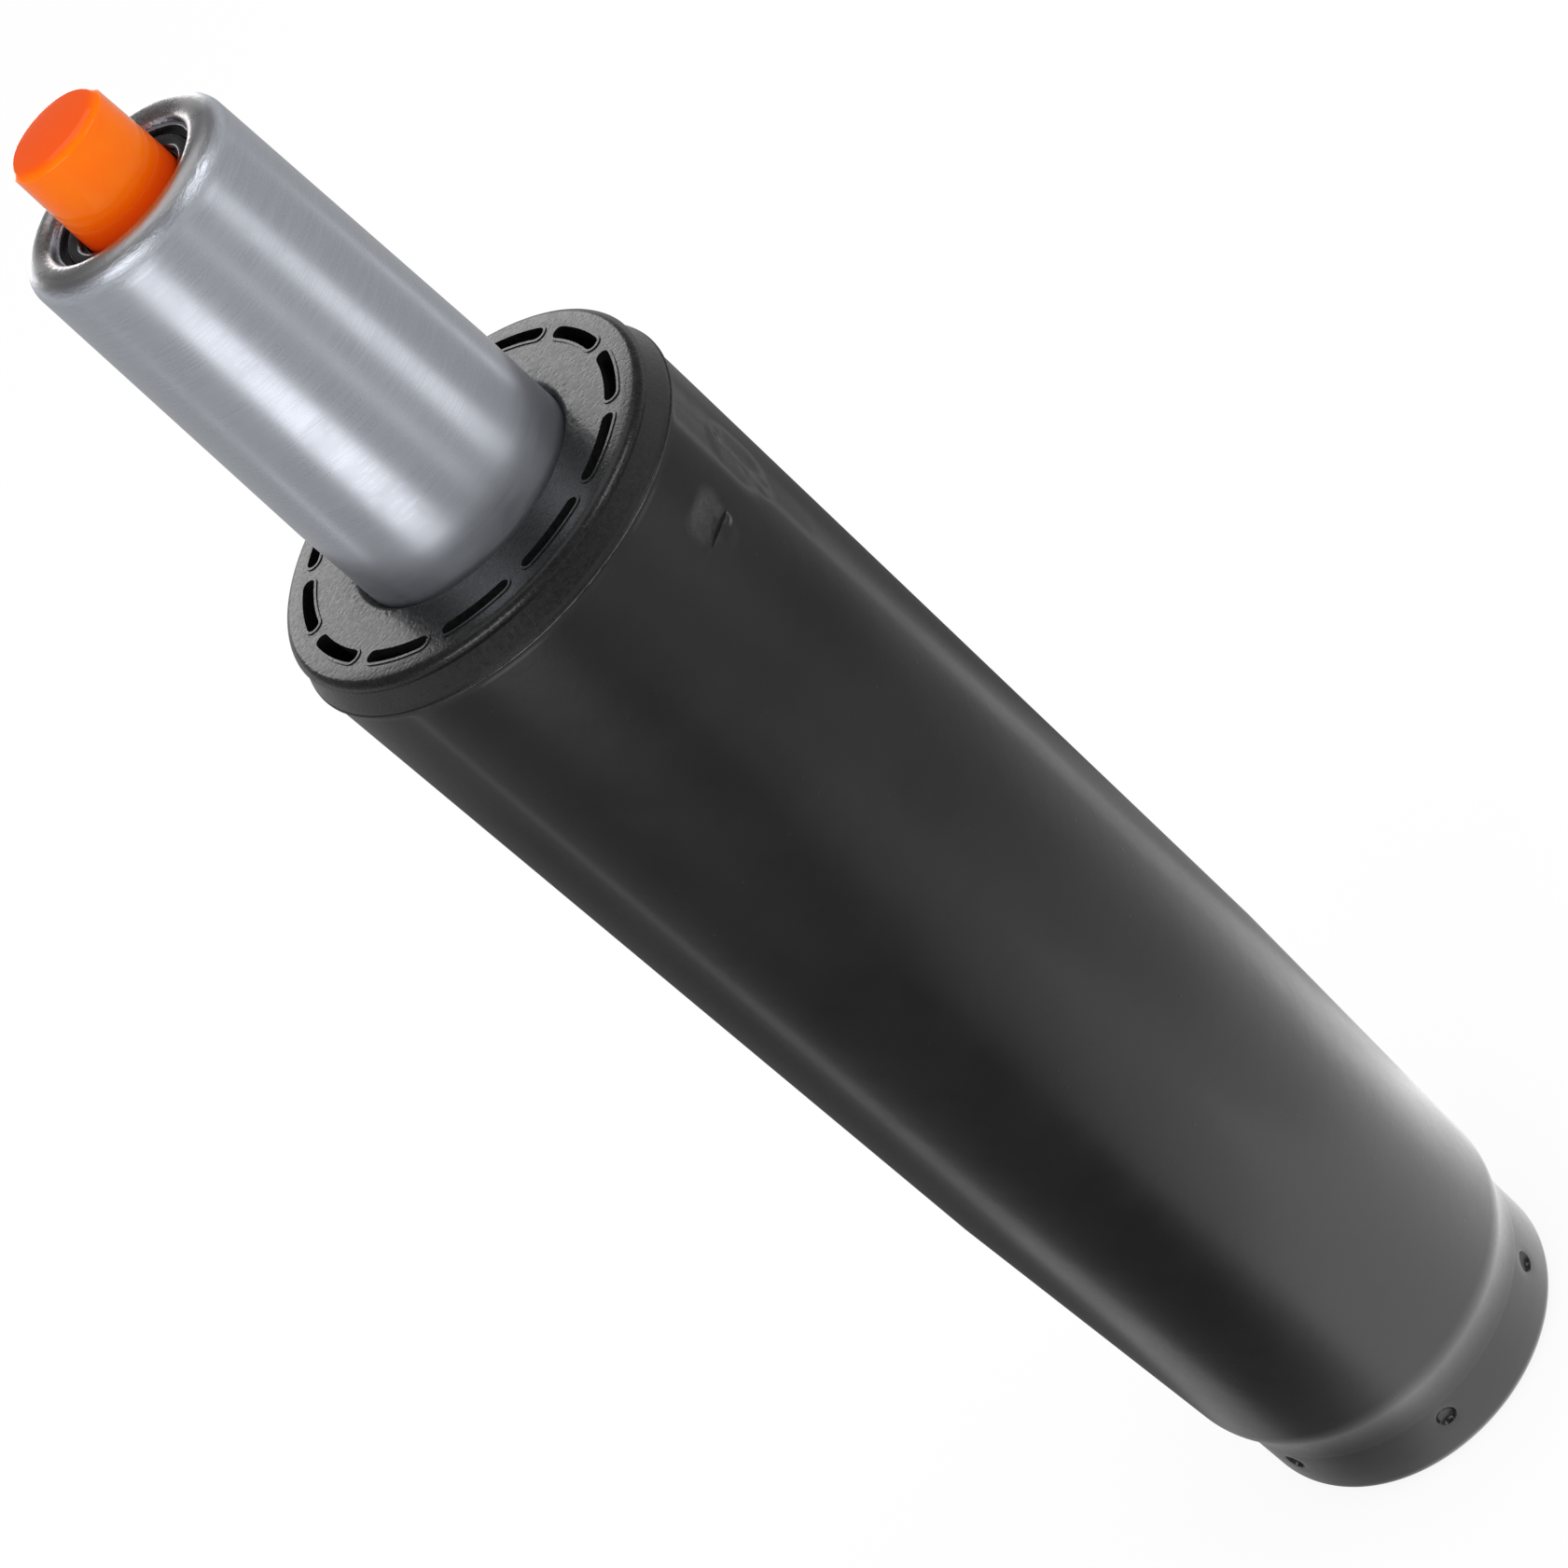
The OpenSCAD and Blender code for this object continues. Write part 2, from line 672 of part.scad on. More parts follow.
module valve_body() {
    spigot_r = cylinder_r - lay_fit;
    well_r = button_d / 2 + pass_gap;
    ring_floor = press_in(body_ring_z) - run_fit - valve_ring_d - lay_fit / 2;
    color("#2a2b2d")
        difference() {
            rotate_extrude()
                polygon([
                    [0, valve_z], [spigot_r - bevel, valve_z], [spigot_r, valve_z + bevel],
                    [spigot_r, valve_step_z], [press_in(valve_step_z) - gas_gap, valve_step_z],
                    [press_in(gland_z) - gas_gap, gland_z], [press_in(gland_z) - lay_fit, gland_z],
                    [press_in(valve_top) - lay_fit, valve_top], [0, valve_top]
                ]);
            translate([0, 0, well_z])
                cylinder(r = well_r, h = well_depth + over);
            translate([0, 0, valve_z - over])
                cylinder(r = pin_d / 2 + run_fit, h = valve_h);
            translate([0, 0, valve_z - over])
                cylinder(r = seat_ring_d / 2 + lay_fit, h = pin_head_h + seat_ring_h + over);
            translate([0, 0, gland_z])
                cylinder(r = pin_d / 2 + run_fit + valve_ring_d + lay_fit, h = gland_h);
            translate([0, 0, chamber_z])
                cylinder(r = chamber_r, h = chamber_h);
            translate([0, 0, seat_z])
                cylinder(r = chamber_r, h = chamber_z - seat_z);
            translate([0, 0, chamber_z + chamber_h / 2])
                rotate([0, 90, 0])
                    cylinder(d = port_d, h = press_d / 2);
            bevelled_ring(ring_floor, press_d / 2, body_ring_z - gland_h / 2, gland_h, 0);
        }
}

module valve_body_ring() {
    color("#1a1a1a")
        round_ring(press_in(body_ring_z + valve_ring_d / 2) - run_fit - valve_ring_d / 2, valve_ring_d,
                   body_ring_z);
}

module pin_seal() {
    color("#1a1a1a")
        round_ring(pin_d / 2 + run_fit + valve_ring_d / 2, valve_ring_d, gland_z + gland_h / 2);
}

module valve_seat() {
    color("#5a3b2e")
        bevelled_ring(pin_d / 2 + 3 * lay_fit, seat_ring_d / 2, seat_z, seat_ring_h, bevel / 2);
}

module release_button() {
    r = button_d / 2;
    edge_z = button_top - button_crown - button_edge_r;
    edge_mid = r - button_edge_r;
    // Angle at which the crown meets the rounded edge
    crown_deg = 2 * atan(button_crown / edge_mid);
    // Share of the end face at which the crown has its extra point
    crown_mid = 0.6;
    color("#ff6a13")
        difference() {
            rotate_extrude()
                polygon(concat(
                    [[0, button_z], [r - bevel, button_z], [r, button_z + bevel]],
                    arc([edge_mid, edge_z], button_edge_r, 0, 90 - crown_deg),
                    [[edge_mid * crown_mid, button_top - button_crown * pow(crown_mid, 2)], [0, button_top]]
                ));
            translate([0, 0, button_z - over])
                cylinder(r = pin_d / 2 + run_fit, h = pin_grip + over);
        }
}

module valve_pin() {
    pin_r = pin_d / 2;
    head_r = pin_head_d / 2;
    pin_top = button_z + pin_grip - run_fit;
    color("#c9ccd1")
        rotate_extrude()
            polygon([
                [0, pin_z], [head_r - bevel, pin_z], [head_r, pin_z + bevel],
                [head_r, pin_z + pin_head_h - bevel], [head_r - bevel, pin_z + pin_head_h],
                [pin_r, pin_z + pin_head_h], [pin_r, pin_top - bevel], [pin_r - bevel, pin_top], [0, pin_top]
            ]);
}

outer_tube();
guide_bushing();
bottom_plate();
lower_race();
bearing_cage();
bearing_balls();
upper_race();
bumper();
piston_rod();
clip_washer();
retaining_clip();
lower_piston_washer();
piston();
piston_ring();
upper_piston_washer();
piston_nut();
pressure_tube();
inner_tube();
end_cap();
rod_seal();
seal_washer();
rod_guide();
valve_body();
valve_body_ring();
pin_seal();
valve_seat();
release_button();
valve_pin();
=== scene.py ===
"""Chair gas lift cylinder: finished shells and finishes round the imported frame.

Lengths are in millimetres and angles in degrees, unless a comment says otherwise.
MM turns a length into the metres of the frame. Outlines are lists of (radius, height) pairs.
"""

import json
import logging
import math
from collections.abc import Callable, Iterator, Sequence
from contextlib import contextmanager
from dataclasses import dataclass, field
from enum import Enum
from typing import Any, NamedTuple

import bpy
import numpy as np
from mathutils import Euler, Matrix, Vector


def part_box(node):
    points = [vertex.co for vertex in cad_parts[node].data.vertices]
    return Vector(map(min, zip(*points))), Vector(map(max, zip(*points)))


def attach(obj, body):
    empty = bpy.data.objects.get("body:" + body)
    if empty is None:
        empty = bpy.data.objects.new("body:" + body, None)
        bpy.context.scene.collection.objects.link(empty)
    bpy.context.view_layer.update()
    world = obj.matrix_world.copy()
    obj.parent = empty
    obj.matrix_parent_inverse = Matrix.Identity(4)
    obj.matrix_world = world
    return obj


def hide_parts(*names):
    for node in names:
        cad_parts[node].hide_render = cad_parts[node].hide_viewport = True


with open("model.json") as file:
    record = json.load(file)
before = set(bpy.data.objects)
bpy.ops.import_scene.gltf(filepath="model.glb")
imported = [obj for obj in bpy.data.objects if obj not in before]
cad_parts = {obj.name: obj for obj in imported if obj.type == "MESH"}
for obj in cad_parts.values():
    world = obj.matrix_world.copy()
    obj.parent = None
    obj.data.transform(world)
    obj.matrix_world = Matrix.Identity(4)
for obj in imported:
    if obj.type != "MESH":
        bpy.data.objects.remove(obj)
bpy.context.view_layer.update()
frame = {"nodes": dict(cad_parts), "record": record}

MM = 0.001
SAME_PLACE = 1e-6        # metres within which two vertices are one
SAME_POINT = 1e-4        # distance within which two points of an outline are one
ON_AXIS = 1e-9           # metres from the axis within which a vertex is on it
TUBE_RADIUS = 25.0       # standing tube
FLANGE_RADIUS = 25.35    # guide sleeve's flange
BORE_RADIUS = 14.05      # guide sleeve's bore
MOUTH_RADIUS = 8.8       # hole in the pressure tube's rim, round the button
HALF_TURNS = (0, 180)    # the press marked the standing tube twice, half a turn apart

Point = tuple[float, float]
Outline = list[Point]
Place = tuple[float, float, float]
Colour = tuple[float, float, float]
Piece = bpy.types.Object
Socket = bpy.types.NodeSocket
Material = bpy.types.Material
log = logging.getLogger("gas_lift")


class Body(Enum):
    """Bodies of the frame that the new pieces ride on."""

    STANDING_TUBE = "standing_tube"
    LIFT_TUBE = "lift_tube"
    BUTTON = "button"


class Slot(Enum):
    """Material slots of the record."""

    BLACK_PAINT = "black_paint"
    BLACK_PLASTIC = "black_plastic"
    BARE_STEEL = "bare_steel"
    ORANGE_PLASTIC = "orange_plastic"
    VALVE_PLASTIC = "valve_plastic"
    PLATED_STEEL = "plated_steel"
    BEARING_STEEL = "bearing_steel"
    HARD_CHROME = "hard_chrome"
    INNER_STEEL = "inner_steel"
    SPRING_STEEL = "spring_steel"
    LIGHT_ALLOY = "light_alloy"
    BRASS = "brass"
    NATURAL_PLASTIC = "natural_plastic"
    GREY_RUBBER = "grey_rubber"
    BLACK_RUBBER = "black_rubber"
    BROWN_RUBBER = "brown_rubber"


class Falloff(Enum):
    """How a push fades from its centre to its reach."""

    ROUND = "SPHERE"
    SOFT = "SMOOTH"
    CONE = "LINEAR"


class MattSheenPatch(NamedTuple):
    """A patch that the press left matt, with a painted sheen: its middle, its reach and its strength."""

    place: Place
    reach: float
    share: float


def top_of(node: str) -> float:
    """Height of a frame node's top."""
    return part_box(node)[1].z / MM


def bottom_of(node: str) -> float:
    """Height of a frame node's underside."""
    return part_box(node)[0].z / MM


def radius_of(node: str) -> float:
    """Largest radius of a frame node."""
    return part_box(node)[1].x / MM


def arc(centre: Point, radius: float, start: float, end: float, pieces: int) -> Outline:
    """Gives points along an arc, both ends included, where 0 points away from the axis and 90 up."""
    angles = (math.radians(start + (end - start) * i / pieces) for i in range(pieces + 1))
    return [(centre[0] + radius * math.cos(a), centre[1] + radius * math.sin(a)) for a in angles]


def run(start: Point, end: Point, spacing: float) -> Outline:
    """Gives evenly spaced points along a straight stretch of an outline.

    Args:
        start: First point, which is included.
        end: Last point, which is included.
        spacing: Largest distance between two points.

    Returns:
        The points in order.
    """
    pieces = max(1, math.ceil(math.dist(start, end) / spacing))
    return [
        (start[0] + (end[0] - start[0]) * i / pieces, start[1] + (end[1] - start[1]) * i / pieces)
        for i in range(pieces + 1)
    ]


def only(piece: Piece) -> None:
    """Makes a piece the only selected object, and the active one.

    Args:
        piece: The object.
    """
    bpy.ops.object.select_all(action="DESELECT")
    piece.select_set(True)
    bpy.context.view_layer.objects.active = piece


@contextmanager
def editing(piece: Piece) -> Iterator[None]:
    """Keeps a piece in edit mode, selecting vertices, while the block runs.

    Args:
        piece: The mesh object to edit.

    Yields:
        Nothing.
    """
    only(piece)
    bpy.ops.object.mode_set(mode="EDIT")
    bpy.ops.mesh.select_mode(type="VERT")
    yield
    bpy.ops.object.mode_set(mode="OBJECT")


def pick(piece: Piece, test: Callable[[np.ndarray], np.ndarray]) -> int:
    """Selects a piece's vertices by their places. The piece is in object mode.

    Args:
        piece: The mesh object.
        test: Takes the places in millimetres, one row each, and gives one truth value each.

    Returns:
        The number of vertices selected.
    """
    mesh = piece.data
    places = np.empty(len(mesh.vertices) * 3)
    mesh.vertices.foreach_get("co", places)
    chosen = test(places.reshape(-1, 3) / MM)
    mesh.polygons.foreach_set("select", np.zeros(len(mesh.polygons), bool))
    mesh.edges.foreach_set("select", np.zeros(len(mesh.edges), bool))
    mesh.vertices.foreach_set("select", chosen)
    return int(chosen.sum())


def pick_ring(piece: Piece, inner: float, outer: float, floor: float) -> None:
    """Selects the vertices between two radii and above a height.

    Args:
        piece: The mesh object.
        inner: Radius past which they lie.
        outer: Radius within which they lie.
        floor: Height above which they lie.
    """
    def in_ring(places: np.ndarray) -> np.ndarray:
        """Tells which places lie in the ring."""
        radii = np.hypot(places[:, 0], places[:, 1])
        return (radii > inner) & (radii < outer) & (places[:, 2] > floor)

    pick(piece, in_ring)


def on_wall(degrees: float, radius: float, height: float) -> np.ndarray:
    """Gives the place at an angle round the axis, on a wall of a radius, at a height."""
    angle = math.radians(degrees)
    return np.array([radius * math.cos(angle), radius * math.sin(angle), height])


def near(place: np.ndarray, reach: float) -> Callable[[np.ndarray], np.ndarray]:
    """Makes a test for the vertices within reach of a place."""
    return lambda places: np.linalg.norm(places - place, axis=1) < reach


@dataclass(frozen=True)
class Push:
    """A local push of a thin wall towards the axis.

    Attributes:
        degrees: Angle of the push round the axis.
        radius: Radius of the wall.
        height: Height of the middle of the push.
        depth: How far the middle moves towards the axis.
        core: Radius of the patch that moves all the way.
        reach: Distance past the core at which the push has faded out.
        falloff: How it fades.
        length: Length of the core along the axis, for a push along a line.
        floor: Height below which nothing moves.
        ceiling: Height above which nothing moves.
    """

    degrees: float
    radius: float
    height: float
    depth: float
    core: float
    reach: float
    falloff: Falloff = Falloff.SOFT
    length: float = 0.0
    floor: float = -1.0
    ceiling: float = 1000.0

    def in_play(self, places: np.ndarray) -> np.ndarray:
        """Tells which places lie between the floor and the ceiling."""
        return (places[:, 2] >= self.floor) & (places[:, 2] <= self.ceiling)

    def in_core(self, places: np.ndarray) -> np.ndarray:
        """Tells which places lie in the core, a line along the axis with round ends.

        Args:
            places: The places, one row each.

        Returns:
            One truth value for each place.
        """
        line = np.tile(on_wall(self.degrees, self.radius, 0), (len(places), 1))
        half = self.length / 2
        line[:, 2] = np.clip(places[:, 2], self.height - half, self.height + half)
        return (np.linalg.norm(places - line, axis=1) < self.core) & self.in_play(places)

    def apply(self, piece: Piece) -> None:
        """Moves the vertices of a piece.

        Args:
            piece: The mesh object, with the wall's vertices in place.
        """
        if pick(piece, lambda places: ~self.in_play(places)):
            with editing(piece):
                bpy.ops.mesh.hide(unselected=False)
        found = pick(piece, self.in_core)
        inward = -on_wall(self.degrees, self.depth * MM, 0)
        with editing(piece):
            if found:
                bpy.ops.transform.translate(
                    value=tuple(inward),
                    use_proportional_edit=True,
                    proportional_edit_falloff=self.falloff.value,
                    proportional_size=self.reach * MM,
                )
            bpy.ops.mesh.reveal(select=False)


def chain(name: str, points: Sequence[Vector]) -> Piece:
    """Draws a chain of edges through points.

    Args:
        name: Name of the piece.
        points: Places of the vertices, in metres.

    Returns:
        The new mesh object, at the origin.
    """
    bpy.ops.object.select_all(action="DESELECT")
    bpy.ops.mesh.primitive_circle_add(vertices=3, radius=MM, location=(0, 0, 0))
    piece = bpy.context.object
    piece.name = piece.data.name = name
    with editing(piece):
        bpy.ops.mesh.select_all(action="SELECT")
        bpy.ops.mesh.merge(type="CENTER")
        bpy.ops.transform.translate(value=points[0])
        for before, after in zip(points, points[1:]):
            bpy.ops.mesh.extrude_vertices_move(TRANSFORM_OT_translate={"value": after - before})
    return piece


def spin(steps: int, angle: float) -> None:
    """Spins the whole mesh round the upright axis in edit mode, through an angle in radians."""
    bpy.ops.mesh.select_all(action="SELECT")
    bpy.ops.mesh.spin(steps=steps, angle=angle, center=(0, 0, 0), axis=(0, 0, 1), use_auto_merge=False)


def merge_doubles() -> None:
    """Merges the vertices that share a place, in edit mode, and leaves all selected."""
    bpy.ops.mesh.select_all(action="SELECT")
    bpy.ops.mesh.remove_doubles(threshold=SAME_PLACE)
    bpy.ops.mesh.select_all(action="SELECT")


def turned(name: str, outline: Outline, sides: int) -> Piece:
    """Turns an outline into a closed shell round the upright axis.

    One eighth of the shell is spun, and copies of it are turned to fill the circle.
    An outline that begins and ends on the axis stays open there, and the poles are merged.

    Args:
        name: Name of the piece.
        outline: Points in order round the section.
        sides: Number of faces round the axis, a multiple of eight.

    Returns:
        The new mesh object, at the origin.
    """
    kept = outline[:1]
    for point in outline[1:]:
        if math.dist(point, kept[-1]) > SAME_POINT:
            kept.append(point)
    points = [Vector((r * MM, 0, z * MM)) for r, z in kept]
    on_axis = points[0].x < ON_AXIS and points[-1].x < ON_AXIS
    eighth = math.pi / 4
    piece = chain(name, points if on_axis else points + points[:1])
    with editing(piece):
        spin(sides // 8, eighth)
        for turns in (1, 2, 4):
            bpy.ops.mesh.select_all(action="SELECT")
            bpy.ops.mesh.duplicate()
            bpy.ops.transform.rotate(value=eighth * turns, orient_axis="Z", center_override=(0, 0, 0))
        merge_doubles()
        bpy.ops.mesh.normals_make_consistent(inside=False)
    return piece


def sector(name: str, outline: Outline, span: float, steps: int) -> Piece:
    """Makes a closed solid by spinning an outline through part of a turn.

    Args:
        name: Name of the piece.
        outline: Points in order round the section.
        span: Angle of the sector, which is centred on angle 0.
        steps: Number of faces along the arc.

    Returns:
        The new mesh object, at the origin.
    """
    points = [Vector((r * MM, 0, z * MM)) for r, z in outline]
    piece = chain(name, points + points[:1])
    with editing(piece):
        merge_doubles()
        spin(steps, math.radians(span))
        bpy.ops.mesh.select_all(action="SELECT")
        bpy.ops.mesh.fill_holes(sides=0)
        bpy.ops.mesh.select_all(action="SELECT")
        bpy.ops.mesh.normals_make_consistent(inside=False)
    middle = np.mean([tuple(v.co) for v in piece.data.vertices], axis=0)
    piece.rotation_euler.z = -math.atan2(middle[1], middle[0])
    only(piece)
    bpy.ops.object.transform_apply(location=False, rotation=True, scale=False)
    return piece


def copies_round(piece: Piece, angles: Sequence[float]) -> Piece:
    """Copies a piece to several angles round the upright axis and joins the copies.

    Args:
        piece: The piece at angle 0, which is used up.
        angles: Angle of each copy.

    Returns:
        The joined piece, at the origin.
    """
    copies = []
    for degrees in angles:
        copy = piece.copy()
        copy.data = piece.data.copy()
        bpy.context.collection.objects.link(copy)
        copy.rotation_euler.z = math.radians(degrees)
        copies.append(copy)
    bpy.data.objects.remove(piece)
    only(copies[0])
    for copy in copies:
        copy.select_set(True)
    bpy.ops.object.transform_apply(location=True, rotation=True, scale=False)
    bpy.ops.object.join()
    return copies[0]


def carve(piece: Piece, tool: Piece, operation: str = "DIFFERENCE") -> None:
    """Cuts a tool's shape out of a piece, or adds it, and removes the tool.

    Args:
        piece: The piece that is changed.
        tool: A closed mesh object.
        operation: DIFFERENCE to cut or UNION to add.
    """
    modifier = piece.modifiers.new("carve", "BOOLEAN")
    modifier.operation = operation
    modifier.solver = "MANIFOLD"
    modifier.object = tool
    only(piece)
    bpy.ops.object.modifier_apply(modifier=modifier.name)
    bpy.data.objects.remove(tool)


def smooth(piece: Piece, degrees: float) -> None:
    """Shades a piece smooth, apart from edges sharper than an angle."""
    only(piece)
    bpy.ops.object.shade_smooth_by_angle(angle=math.radians(degrees))


class NodeSheet:
    """The nodes of a new material or world, added one by one."""

    def __init__(self, owner: Material | bpy.types.World) -> None:
        """Starts a sheet.

        Args:
            owner: The new material or world.
        """
        owner.use_nodes = True
        self.owner = owner
        self.tree = owner.node_tree
        self.shader = self.tree.nodes.get("Principled BSDF")
        self.coordinates = self.tree.nodes.new("ShaderNodeTexCoord").outputs

    def feed(self, target: Socket, value: Socket | Any) -> None:
        """Links a socket to a target, or gives the target a constant.

        Args:
            target: The input that is fed.
            value: Socket or constant.
        """
        if isinstance(value, Socket):
            self.tree.links.new(value, target)
        else:
            target.default_value = value

    def add(self, kind: str, output: str | int, inputs: dict[str | int, Any], **settings: str) -> Socket:
        """Adds a node.

        Args:
            kind: Its type, without the leading ShaderNode.
            output: Name or number of the output that is given back.
            inputs: Socket or constant for each input, by name or number.
            **settings: The node's own settings.

        Returns:
            The output's socket.
        """
        node = self.tree.nodes.new("ShaderNode" + kind)
        for name, setting in settings.items():
            setattr(node, name, setting)
        for name, value in inputs.items():
            self.feed(node.inputs[name], value)
        return node.outputs[output]

    def place(self, scale: Place) -> Socket:
        """Gives the object's own coordinates, in metres, stretched along each axis."""
        return self.add("Mapping", "Vector", {"Vector": self.coordinates["Object"], "Scale": scale})

    def noise(
        self, grain: float, detail: float = 2.0, roughness: float = 0.5, stretch: Place = (1.0, 1.0, 1.0),
        distortion: float = 0.0,
    ) -> Socket:
        """Adds a noise pattern of a given grain.

        Args:
            grain: Size of the pattern's features.
            detail: Number of finer octaves.
            roughness: Strength of the finer octaves.
            stretch: Factor by which the features are longer along each axis.
            distortion: How much the pattern swirls.

        Returns:
            The socket that gives 0 to 1.
        """
        return self.add("TexNoise", "Fac", {
            "Vector": self.place(tuple(1 / s for s in stretch)), "Scale": 1 / (grain * MM),
            "Detail": detail, "Roughness": roughness, "Distortion": distortion,
        })

    def cells(self, grain: float) -> Socket:
        """Adds a cell pattern of a given grain, which gives the distance from each cell's middle."""
        inputs = {"Vector": self.place((1, 1, 1)), "Scale": 1 / (grain * MM)}
        return self.add("TexVoronoi", "Distance", inputs)

    def between(
        self, value: Socket, low: float, high: float, to_low: float = 0.0, to_high: float = 1.0
    ) -> Socket:
        """Maps a value's range smoothly to another range, and stays inside it.

        Args:
            value: Socket of the value.
            low: Value that becomes to_low.
            high: Value that becomes to_high.
            to_low: First end of the new range.
            to_high: Other end of the new range.

        Returns:
            The socket of the mapped value.
        """
        return self.add("MapRange", "Result", {
            "Value": value, "From Min": low, "From Max": high, "To Min": to_low, "To Max": to_high,
        }, interpolation_type="SMOOTHSTEP")

    def fade(
        self, length: Socket, low: float, high: float, to_low: float = 0.0, to_high: float = 1.0
    ) -> Socket:
        """Does what between does for a length in metres, with low and high in millimetres."""
        return self.between(length, low * MM, high * MM, to_low, to_high)

    def math(self, operation: str, first: Socket, second: Socket | float) -> Socket:
        """Combines two values by an operation of the math node."""
        return self.add("Math", "Value", {0: first, 1: second}, operation=operation)

    def times(self, first: Socket, second: Socket | float) -> Socket:
        """Multiplies two values."""
        return self.math("MULTIPLY", first, second)

    def plus(self, first: Socket, second: Socket | float) -> Socket:
        """Adds two values."""
        return self.math("ADD", first, second)

    def height(self) -> Socket:
        """Gives the height above the foot, in metres."""
        return self.add("SeparateXYZ", "Z", {"Vector": self.coordinates["Object"]})

    def distance(self, place: Place) -> Socket:
        """Gives the distance from a place, in metres. The place is in millimetres."""
        inputs = {0: self.coordinates["Object"], 1: tuple(c * MM for c in place)}
        return self.add("VectorMath", "Value", inputs, operation="DISTANCE")

    def radius(self) -> Socket:
        """Gives the distance from the upright axis, in metres."""
        return self.add("VectorMath", "Value", {0: self.place((1, 1, 0))}, operation="LENGTH")

    def colours(self, value: Socket, *stops: tuple[float, Colour]) -> Socket:
        """Turns a value into a colour.

        Args:
            value: Socket of a value from 0 to 1.
            *stops: Place and linear colour of the two stops.

        Returns:
            The colour socket.
        """
        result = self.add("ValToRGB", "Color", {"Fac": value})
        for element, (place, colour) in zip(result.node.color_ramp.elements, stops):
            element.position = place
            element.color = (*colour, 1.0)
        return result

    def blend(self, share: Socket, first: Socket, second: Socket | Colour) -> Socket:
        """Blends two colours.

        Args:
            share: Socket of the second colour's share.
            first: Socket of the first colour.
            second: Socket of the second colour, or a linear colour.

        Returns:
            The colour socket.
        """
        if not isinstance(second, Socket):
            second = (*second, 1.0)
        return self.add("Mix", "Result", {"Factor": share, "A": first, "B": second}, data_type="RGBA")

    def relief(self, *layers: tuple[Socket, float]) -> Socket:
        """Stacks layers of surface relief.

        Args:
            *layers: Socket and depth of each layer, the lowest first.

        Returns:
            The normal socket.
        """
        normal = None
        for height, depth in layers:
            inputs = {"Distance": depth * MM, "Strength": 1.0, "Height": height}
            if normal is not None:
                inputs["Normal"] = normal
            normal = self.add("Bump", "Normal", inputs)
        return normal

    def finish(self, colour: Socket, roughness: Socket, normal: Socket, **constants: float) -> Material:
        """Links the patterns to the shader and sets what is the same all over.

        Args:
            colour: Socket of the base colour.
            roughness: Socket of the roughness.
            normal: Socket of the normal.
            **constants: Values for the shader's sockets, named in lower case with low lines.

        Returns:
            The finished material.
        """
        sockets = {socket.name.lower().replace(" ", "_"): socket for socket in self.shader.inputs}
        patterns = {"base_color": colour, "roughness": roughness, "normal": normal}
        for name, value in (patterns | constants).items():
            self.feed(sockets[name], value)
        return self.owner


@dataclass(frozen=True)
class PowderPaint:
    """Semi-gloss black powder paint on the standing tube, with painted sheen on the pressed patches and a
    painted highlight along the upper edge.

    Attributes:
        rim_height: Height of the tube's upper edge.
        pressed: Patches that the press left matt, where a lighter colour is painted sheen.
        name: Name of the material.
        matt: Colour of the matt patches, lighter than the paint as a painted sheen.
        deep: Darkest colour of the paint.
        worn: Colour where the paint is thin.
        rim_highlight: Colour of a painted highlight along the tube's upper edge under the flange.
        grain: Size of the powder's texture.
        relief: Depth of that texture.
        crease: Depth of the creases in the patches.
    """

    rim_height: float
    pressed: tuple[MattSheenPatch, ...]
    name: str = "black_powder_paint"
    matt: Colour = (0.05, 0.05, 0.051)
    deep: Colour = (0.0055, 0.0055, 0.006)
    worn: Colour = (0.0085, 0.0085, 0.009)
    rim_highlight: Colour = (0.50, 0.50, 0.51)
    grain: float = 0.55
    relief: float = 0.010
    crease: float = 0.30

    def build(self) -> Material:
        """Builds the material.

        Returns:
            The material.
        """
        sheet = NodeSheet(bpy.data.materials.new(self.name))
        cloud = sheet.noise(14, detail=4, roughness=0.6)
        powder = sheet.noise(self.grain, detail=3, roughness=0.6)
        orange_peel = sheet.noise(self.grain * 5, detail=1)
        nibs = sheet.between(sheet.cells(3.1), 0.0, 0.07, 1.0, 0.0)
        mottle = sheet.noise(1.3, detail=4, roughness=0.6, distortion=0.5)
        layers = [(orange_peel, self.relief * 2), (powder, self.relief), (nibs, self.relief * 3)]
        rough = sheet.between(cloud, 0.3, 0.7, 0.28, 0.34)
        rough = sheet.plus(rough, sheet.between(powder, 0.3, 0.8, 0, 0.04))
        colour = sheet.colours(cloud, (0.35, self.deep), (0.75, self.worn))
        edge = sheet.fade(sheet.height(), self.rim_height - 0.42, self.rim_height - 0.22)
        for place, reach, share in self.pressed:
            patch = sheet.fade(sheet.distance(place), reach * 0.4, reach, share, 0.0)
            patch = sheet.times(patch, sheet.between(powder, 0.3, 0.7, 0.6, 1.0))
            # The patch is partly real matt, rougher paint and partly painted sheen: its colour is much
            # lighter than the paint.
            colour = sheet.blend(patch, colour, self.matt)
            rough = sheet.plus(rough, sheet.times(patch, 0.2))
            layers.append((sheet.times(patch, mottle), self.crease))
        # Painted highlight: a light grey band along the upper edge, broken into chips, stands in for the
        # light that edge catches.
        highlight_chips = sheet.between(sheet.noise(2.5, detail=4, roughness=0.7), 0.35, 0.6, 0.15, 1.0)
        colour = sheet.blend(sheet.times(edge, highlight_chips), colour, self.rim_highlight)
        return sheet.finish(
            colour, rough, sheet.relief(*layers),
            specular_ior_level=0.42, coat_weight=0.18, coat_roughness=0.12,
        )


